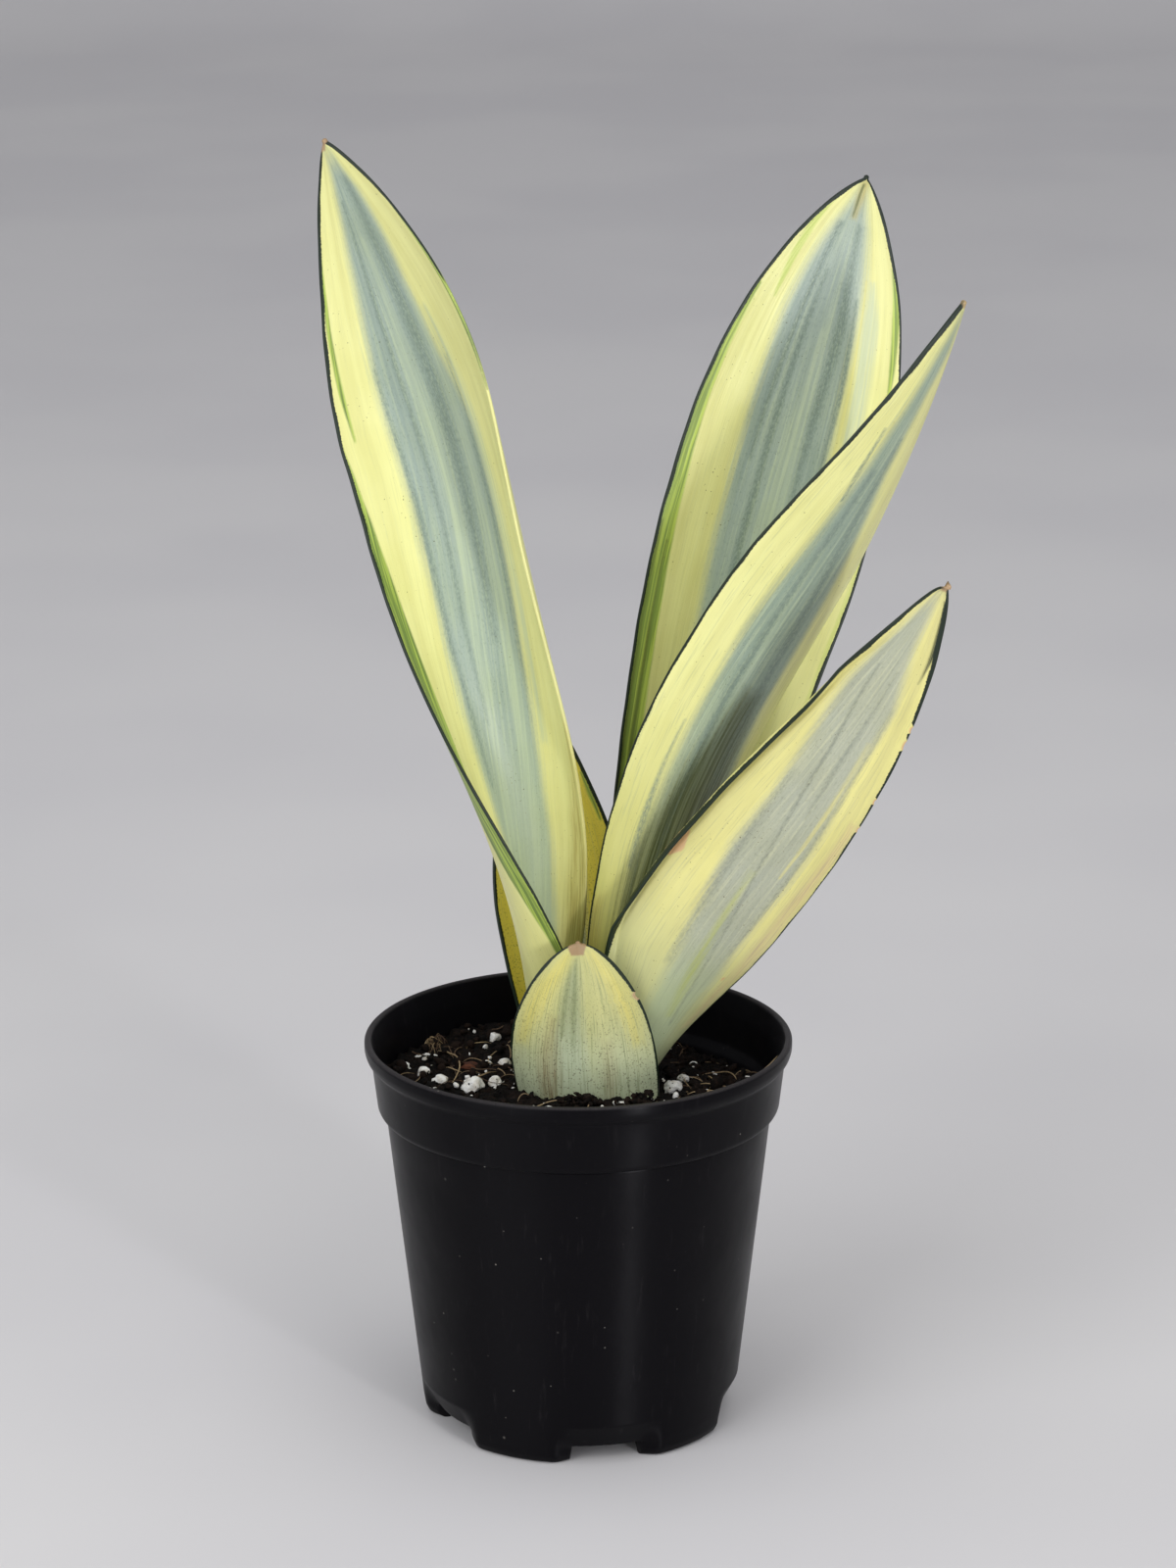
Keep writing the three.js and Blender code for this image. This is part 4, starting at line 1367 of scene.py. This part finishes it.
@dataclass
class PottingMix:
    """The soil body and the crumbs, perlite bits and fibres on top of it.

    heap and dip hold ((x, y), rise, reach). clods holds (height, pitch, seed, waves) of the layers of
    unevenness. floor_gap, wall_gap and top_gap keep the soil off the pot. Above the shoulder it follows
    the inner wall up to the top, which starts at top_radius. tangle is where the tangled stems lie.
    The other radii say how far out crumbs, bits and loose stems may lie. Crumbs wider than fine_above
    have a finer shape. Blades are looked at between the heights in blade_zone.
    """

    pot: Pot
    blades: list[Surface]
    level: float = 98.2
    heap: tuple[Pair, float, float] = ((3, -25), 3.0, 13.0)
    dip: tuple[Pair, float, float] = ((44, 34), -6.0, 22.0)
    lower_radius: float = 39.2
    lower_height: float = 16.6
    lumps: float = 0.55
    clods: tuple[tuple[float, float, int, int], ...] = ((0.55, 7, 3, 7), (0.4, 3.1, 5, 9), (0.22, 1.5, 6, 11))
    floor_gap: float = 0.3
    wall_gap: float = 0.6
    top_gap: float = 0.45
    shoulder: float = 88.0
    top_radius: float = 53.6
    columns: int = 260
    rings: int = 84
    crumbs: int = 1500
    crumb_radius: float = 54.0
    fine_above: float = 1.6
    bits: int = 270
    bit_radius: float = 53.0
    tangled: int = 26
    tangle: Pair = (-41.5, 30.0)
    loose: int = 110
    loose_radius: float = 51.0
    stem_radius: float = 52.5
    blade_zone: Pair = (90, 112)
    stem_room: float = 0.5
    seed: int = 11

    def height(self, x: Array, y: Array) -> Array:
        """Works out the height of the soil as the solid has it.

        Args:
            x: places towards the right.
            y: places towards the back.

        Returns:
            A height for each place.
        """
        total = self.level + self.lumps * (
            np.sin(0.41 * x + 0.9) * np.cos(0.37 * y - 0.4) + 0.6 * np.sin(0.23 * x - 0.31 * y + 2.1)
        )
        for (at_x, at_y), rise, reach in (self.heap, self.dip):
            total = total + rise * np.exp(-((x - at_x) ** 2 + (y - at_y) ** 2) / (2 * reach * reach))
        return total

    def top(self, x: Array, y: Array) -> Array:
        """Height of the soil with its clods."""
        flat = np.stack([x, y, 0 * x], -1)
        clods = sum(size * ripple(flat, pitch, seed, waves) for size, pitch, seed, waves in self.clods)
        return self.height(x, y) + clods - 0.3

    def body(self) -> Object:
        """Makes the soil body.

        Returns:
            The piece.
        """
        low, high, above = self.lower_height, self.shoulder, 200
        floor = self.pot.floor_under + self.pot.wall + self.floor_gap
        profile = [(0, floor), (self.lower_radius - 2, floor), (self.lower_radius, self.pot.body_low[1] - 2)]
        profile += [(float(self.pot.wall_radius(at)) - self.wall_gap, at) for at in (low, high)]
        profile += [(50, high + share) for share in (0.25, 0.5, 0.75, 1)]
        profile += [(self.top_radius * (1 - row / self.rings) ** 0.9, above) for row in range(1, self.rings)]
        profile.append((0, above))
        made = turned(profile, self.columns)
        x, y, z = made.points.T.copy()
        angle = np.arctan2(x, -y)
        on_top, upper = z == above, (z > high + 0.01) & (z < above)
        edge_x, edge_y = self.top_radius * np.sin(angle), -self.top_radius * np.cos(angle)
        level = mix(high + 1, self.top(edge_x, edge_y), z - high)
        radius = np.where(upper, self.pot.wall_radius(level) - self.top_gap, np.hypot(x, y))
        z = np.where(upper, level, z)
        x, y = radius * np.sin(angle), -radius * np.cos(angle)
        z = np.where(on_top, self.top(x, y), z)
        made.points = np.stack([x, y, z], -1)
        made.values["shade"] = np.clip(0.5 * ripple(made.points, 9, 21), 0, 1) * 0.5
        return made.piece("soil_body", SoilMix().dress("peat"), "potting_mix", ("soil",))

    def clear_of_blades(self, places: Array, room: Array) -> Array:
        """Tells which places stand off every blade.

        Args:
            places: the places.
            room: how far each one has to stand off.

        Returns:
            True for each place that does.
        """
        points = np.concatenate([blade.points for blade in self.blades])
        low, high = self.blade_zone
        near = points[(points[:, 2] > low) & (points[:, 2] < high)]
        clear = np.ones(len(places), bool)
        for index, place in enumerate(places):
            gap = np.sqrt(((near - place) ** 2).sum(-1).min())
            clear[index] = gap > room[index]
        return clear

    def lump(self, shape: tuple[Array, Faces], place: Array, size: float, random: Draws) -> Surface:
        """Makes one uneven crumb.

        Args:
            shape: the ball that it starts from.
            place: its middle.
            size: its width.
            random: where the uneven numbers come from.

        Returns:
            The crumb.
        """
        points, faces = shape
        stretch = random.uniform((0.75, 0.6, 0.45), (1.2, 1.0, 0.85))
        spin = np.array(Matrix.Rotation(random.uniform(0, ROUND), 3, Vector(unit(random.normal(size=3)))))
        rough = 1 + 0.28 * ripple(points * 3, 5.5, int(random.integers(1, 999)), 4)[:, None]
        moved = (points * rough * stretch) @ spin.T * size / 2 + place
        return Surface(moved, faces, {"shade": np.full(len(points), random.uniform(0, 1) ** 2)})

    def litter(self) -> Object:
        """Makes the loose crumbs, with three small piles beside the front leaf.

        Returns:
            The piece.
        """
        random = np.random.default_rng(self.seed)
        angle = random.uniform(0, 2 * math.pi, self.crumbs)
        radius = self.crumb_radius * np.sqrt(random.uniform(0, 1, self.crumbs))
        size = 0.7 + 3.4 * random.uniform(0, 1, self.crumbs) ** 3.2
        x, y = radius * np.sin(angle), -radius * np.cos(angle)
        z = self.top(x, y) + 0.18 * size
        piles = (
            ((0.5, -28.2, 102.2), 4.6, 3.4, 60),
            ((16.2, -27.6, 101.6), 3.8, 3.0, 55),
            ((19.5, -26, 102.6), 1.6, 2.4, 16),
        )
        for (at_x, at_y, at_z), reach, high, count in piles:
            offset = random.normal(size=(count, 2)) * reach * (0.62, 0.4)
            far = np.clip(np.hypot(*offset.T) / reach, 0, 1)
            x = np.append(x, at_x + offset[:, 0])
            y = np.append(y, at_y + offset[:, 1])
            z = np.append(z, at_z + high * (1 - far) * random.uniform(0, 1, count))
            size = np.append(size, random.uniform(0.8, 2.2, count))
        places = np.stack([x, y, z], -1)
        wall = self.pot.wall_radius(z) - np.hypot(x, y)
        clear = self.clear_of_blades(places, size * 0.42) & (wall > size * 0.55)
        fine, plain = ball(2), ball(1)
        chosen = zip(places[clear], size[clear])
        parts = [
            self.lump(fine if wide > self.fine_above else plain, place, wide, random)
            for place, wide in chosen
        ]  # fmt: skip
        peat = SoilMix(tone(11, 9, 8), tone(38, 27, 21)).dress("peat_crumbs")
        return joined(parts).piece("soil_crumbs", peat, "potting_mix")

    def specks(self) -> Object:
        """Makes the small perlite bits between the crumbs.

        Returns:
            The piece.
        """
        random = np.random.default_rng(self.seed + 1)
        angle = random.uniform(0, 2 * math.pi, self.bits)
        radius = self.bit_radius * np.sqrt(random.uniform(0, 1, self.bits))
        size = 0.5 + 1.7 * random.uniform(0, 1, self.bits) ** 3
        x, y = radius * np.sin(angle), -radius * np.cos(angle)
        places = np.stack([x, y, self.top(x, y) + 0.35 * size], -1)
        wall = self.pot.wall_radius(places[:, 2]) - radius
        clear = self.clear_of_blades(places, size * 0.5) & (wall > size)
        shape = ball(2)
        parts = [self.lump(shape, place, wide, random) for place, wide in zip(places[clear], size[clear])]
        return joined(parts).piece("perlite_bits", PerliteStone().dress("perlite_bits"), "perlite")

    def fibres(self) -> Object:
        """Makes the thin roots and moss stems, the ones that stand out first.

        Returns:
            The piece.
        """
        random = np.random.default_rng(self.seed + 2)
        stems = [self.stem(keys, thick, shade) for thick, shade, *keys in PLACED_STEMS]
        for _ in range(self.tangled):
            spot = np.array(self.tangle) + random.normal(size=2) * (1.6, 2.2)
            stems.append(self.wander(random, spot, (3, 8), (0.8, 2.2), (0.16, 0.3)))
        for _ in range(self.loose):
            angle, radius = random.uniform(0, 2 * math.pi), self.loose_radius * math.sqrt(random.uniform(0, 1))
            spot = np.array([radius * math.sin(angle), -radius * math.cos(angle)])
            stems.append(self.wander(random, spot, (5, 19), (0.3, 1.3), (0.17, 0.38)))
        clear = [stem for stem in stems if self.stands_clear(stem)]
        return joined(clear).piece("soil_fibres", FibreStraw().dress("straw"), "potting_mix")

    def stands_clear(self, stem: Surface) -> bool:
        """Tells whether a stem stands off every blade."""
        points = stem.points[::6]
        return self.clear_of_blades(points, np.full(len(points), self.stem_room)).all()

    def wander(self, random: Draws, spot: Array, lengths: Pair, lifts: Pair, widths: Pair) -> Surface:
        """Makes one stem that wanders over the soil.

        Args:
            random: where the uneven numbers come from.
            spot: place of its middle, as (x, y).
            lengths: least and greatest length along its course.
            lifts: least and greatest height of its middle over the soil.
            widths: least and greatest thickness.

        Returns:
            The stem.
        """
        length, lift, thick = (random.uniform(*limits) for limits in (lengths, lifts, widths))
        turn, bend = random.uniform(0, 2 * math.pi), random.normal() * 0.25
        headings = turn + np.cumsum(bend + random.normal(size=5) * 0.35)
        steps = np.stack([np.sin(headings), -np.cos(headings)], -1) * length / 5
        course = np.concatenate([[[0, 0]], np.cumsum(steps, axis=0)])
        course += spot - course.mean(axis=0)
        far = np.hypot(*course.T)
        course *= np.minimum(1, self.stem_radius / far)[:, None]
        rises = np.array([-0.9, 0.5, 1, 1, 0.5, -0.9]) * lift
        keys = [(x, y, rise) for (x, y), rise in zip(course, rises)]
        return self.stem(keys, thick, random.uniform(0.1, 1.1))

    def stem(self, keys: list[Point], thick: float, shade: float) -> Surface:
        """Makes one thin stem, tapered towards both ends.

        Args:
            keys: (x, y, height over the soil) along the stem, with the ends in the soil.
            thick: its thickness.
            shade: 0 for straw, 1 for dark brown.

        Returns:
            The stem.
        """
        line = np.array(keys, float)
        for _ in range(3):
            cut = np.stack([mix(line[:-1], line[1:], share) for share in (0.25, 0.75)], 1).reshape(-1, 3)
            line = np.concatenate([line[:1], cut, line[-1:]])
        line[:, 2] += self.height(line[:, 0], line[:, 1]) + 0.1
        count = len(line)
        heading = unit(np.gradient(line, axis=0))
        side = unit(np.cross(heading, [0.3, 0.2, 0.93]))
        up = np.cross(side, heading)
        radius = thick / 2 * (0.5 + 0.5 * np.sin(math.pi * np.linspace(0, 1, count))[:, None])
        around = np.radians(np.arange(0, 360, 60))
        rings = [line + radius * (side * math.cos(a) + up * math.sin(a)) for a in around]
        points = np.stack(rings, 1).reshape(-1, 3)
        faces = ring_faces(count, 6) + [tuple(range(6))[::-1], tuple(6 * count - 6 + k for k in range(6))]
        return Surface(points, faces, {"shade": np.full(len(points), shade)})

    def build(self) -> None:
        """Makes the soil and all that is loose on it."""
        self.body()
        self.litter()
        self.specks()
        self.fibres()


@dataclass
class Grain:
    """A perlite grain or the bark chip, in the box of its solid: a ball with flats broken off and pits."""

    node: str
    finish: Material
    slot: str
    pits: float
    seed: int
    cuts: int = 14
    holes: int = 16

    def build(self) -> Object:
        """Makes the lump in place of its solid.

        Returns:
            The piece, stretched to the box of its solid.
        """
        low, high = (np.array(corner - AXIS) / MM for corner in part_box(self.node))
        random = np.random.default_rng(self.seed)
        points, faces = ball(4)
        reach = np.ones(len(points))
        flats = unit(random.normal(size=(self.cuts, 3)))
        for cut, far in zip(flats, random.uniform(0.66, 0.97, self.cuts)):
            reach = np.minimum(reach, far / np.maximum(points @ cut, 0.1))
        for hole in unit(random.normal(size=(self.holes, 3))):
            size = random.uniform(0.14, 0.34)
            gap = np.linalg.norm(points - hole, axis=1)
            reach -= self.pits * size * np.maximum(1 - (gap / size) ** 2, 0)
        reach += 0.05 * ripple(points, 1.7, self.seed, 5) + 0.025 * ripple(points, 0.6, self.seed + 1, 9)
        points = points * reach[:, None]
        box_low, box_high = points.min(0), points.max(0)
        points = low + (points - box_low) / (box_high - box_low) * (high - low)
        return Surface(points, faces).piece(f"{self.node}_grain", self.finish, self.slot, (self.node,))


# ------------------------------------------------------------------ studio


@dataclass
class Studio:
    """Pale paper sweep, soft lights and the camera of the photograph.

    The lights look at a place aim above the floor. The paper lies flat to back and bends up over curve.
    """

    camera_place: Point = (0.0, -1376.906, 594.152)
    forward: Point = (0.00205664, 0.95859995, -0.28474886)
    up: Point = (0.00378455, 0.28473996, 0.95859732)
    lens: float = 119.25
    key_power: float = 4.0
    window_power: float = 13.0
    fill_power: float = 22.0
    top_power: float = 9.0
    world: float = 0.44
    aim: float = 170.0
    reach: float = 7000.0
    back: float = 2600.0
    curve: float = 600.0
    backdrop: float = 3600.0

    def sweep(self) -> None:
        """Makes the floor and the backdrop in one sheet."""
        back, curve = self.back, self.curve
        profile = [(-self.reach, 0), (back, 0)]
        for a in np.radians(np.arange(5, 91, 5)):
            profile.append((back + curve * math.sin(a), curve - curve * math.cos(a)))
        profile.append((back + curve, self.backdrop))
        points = [(x, y, z) for x in (-self.reach, self.reach) for y, z in profile]
        count = len(profile)
        faces = [(k, count + k, count + k + 1, k + 1) for k in range(count - 1)]
        paper = Surface(np.array(points), faces).dressed("paper_sweep", STUDIO_PAPER.dress("studio_paper"))

    def light(
        self, name: str, angle: float, rise: float, distance: float, size: Pair, power: float, tint: Point
    ) -> None:
        """Adds one soft light that looks at the plant's middle.

        Args:
            name: name of the light.
            angle: degrees from the front towards the right.
            rise: degrees above the horizon.
            distance: millimetres from the plant.
            size: width and height of the light.
            power: strength in watts.
            tint: colour.
        """
        data = bpy.data.lights.new(name, "AREA")
        data.shape = "RECTANGLE"
        data.size, data.size_y = size[0] * MM, size[1] * MM
        data.energy = power
        data.color = tint
        lamp = in_scene(name, data)
        a, e = math.radians(angle), math.radians(rise)
        away = Vector((math.sin(a) * math.cos(e), -math.cos(a) * math.cos(e), math.sin(e)))
        lamp.location = AXIS + Vector((0, 0, self.aim * MM)) + away * distance * MM
        lamp.rotation_euler = away.to_track_quat("Z", "Y").to_euler()

    def lights(self) -> None:
        """Adds the lights and the even light of the room."""
        self.light("key_light", 24, 38, 1900, (700, 1300), self.key_power, (1.0, 0.985, 0.96))
        self.light("window_light", 31, 3, 1900, (120, 460), self.window_power, (0.95, 0.94, 1.0))
        self.light("fill_light", -42, 25, 2200, (1600, 1600), self.fill_power, (0.97, 0.98, 1.0))
        self.light("top_light", 10, 80, 1700, (1500, 1500), self.top_power, (1.0, 1.0, 1.0))
        room = bpy.data.worlds.new("room")
        room.use_nodes = True
        shade = room.node_tree.nodes["Background"]
        shade.inputs["Color"].default_value = (0.92, 0.94, 1.0, 1.0)
        shade.inputs["Strength"].default_value = self.world
        bpy.context.scene.world = room

    def camera(self) -> None:
        """Puts the camera where the photograph was taken from."""
        data = bpy.data.cameras.new("camera")
        data.sensor_width = 36.0
        data.lens = self.lens
        data.clip_start, data.clip_end = 0.05, 20.0
        eye = in_scene("camera", data)
        forward, up = Vector(self.forward).normalized(), Vector(self.up).normalized()
        right = forward.cross(up).normalized()
        turn = Matrix((right, right.cross(forward), -forward)).transposed().to_4x4()
        eye.matrix_world = Matrix.Translation(AXIS + Vector(self.camera_place) * MM) @ turn
        bpy.context.scene.camera = eye

    def build(self) -> None:
        """Sets up the studio."""
        self.sweep()
        self.lights()
        self.camera()
        bpy.context.scene.view_settings.view_transform = "Standard"


# ------------------------------------------------------------------ the whole plant


def write_sizes() -> None:
    """Brings the scene's placements up to date."""
    bpy.context.view_layer.update()


def main() -> None:
    """Builds every piece in order."""
    logging.basicConfig(level=logging.INFO, format="%(message)s")
    Studio().build()
    pot = Pot()
    pot.build()
    for blade in LEAVES:
        blade.build()
    PottingMix(pot, [blade.surface() for blade in LEAVES]).build()
    stone = PerliteStone().dress("perlite")
    for number in range(1, PERLITE_GRAINS + 1):
        Grain(f"perlite_{number:02d}", stone, "perlite", 0.5, 40 + number).build()
    Grain("bark_chip", BARK_WOOD.dress("bark"), "bark", 0.1, 60).build()
    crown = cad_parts["crown"]
    crown.data.materials.clear()
    crown.data.materials.append(CROWN_FLESH.dress("rhizome"))
    log.info("crown: kept from the solids")
    write_sizes()


if __name__ == "__main__":
    main()
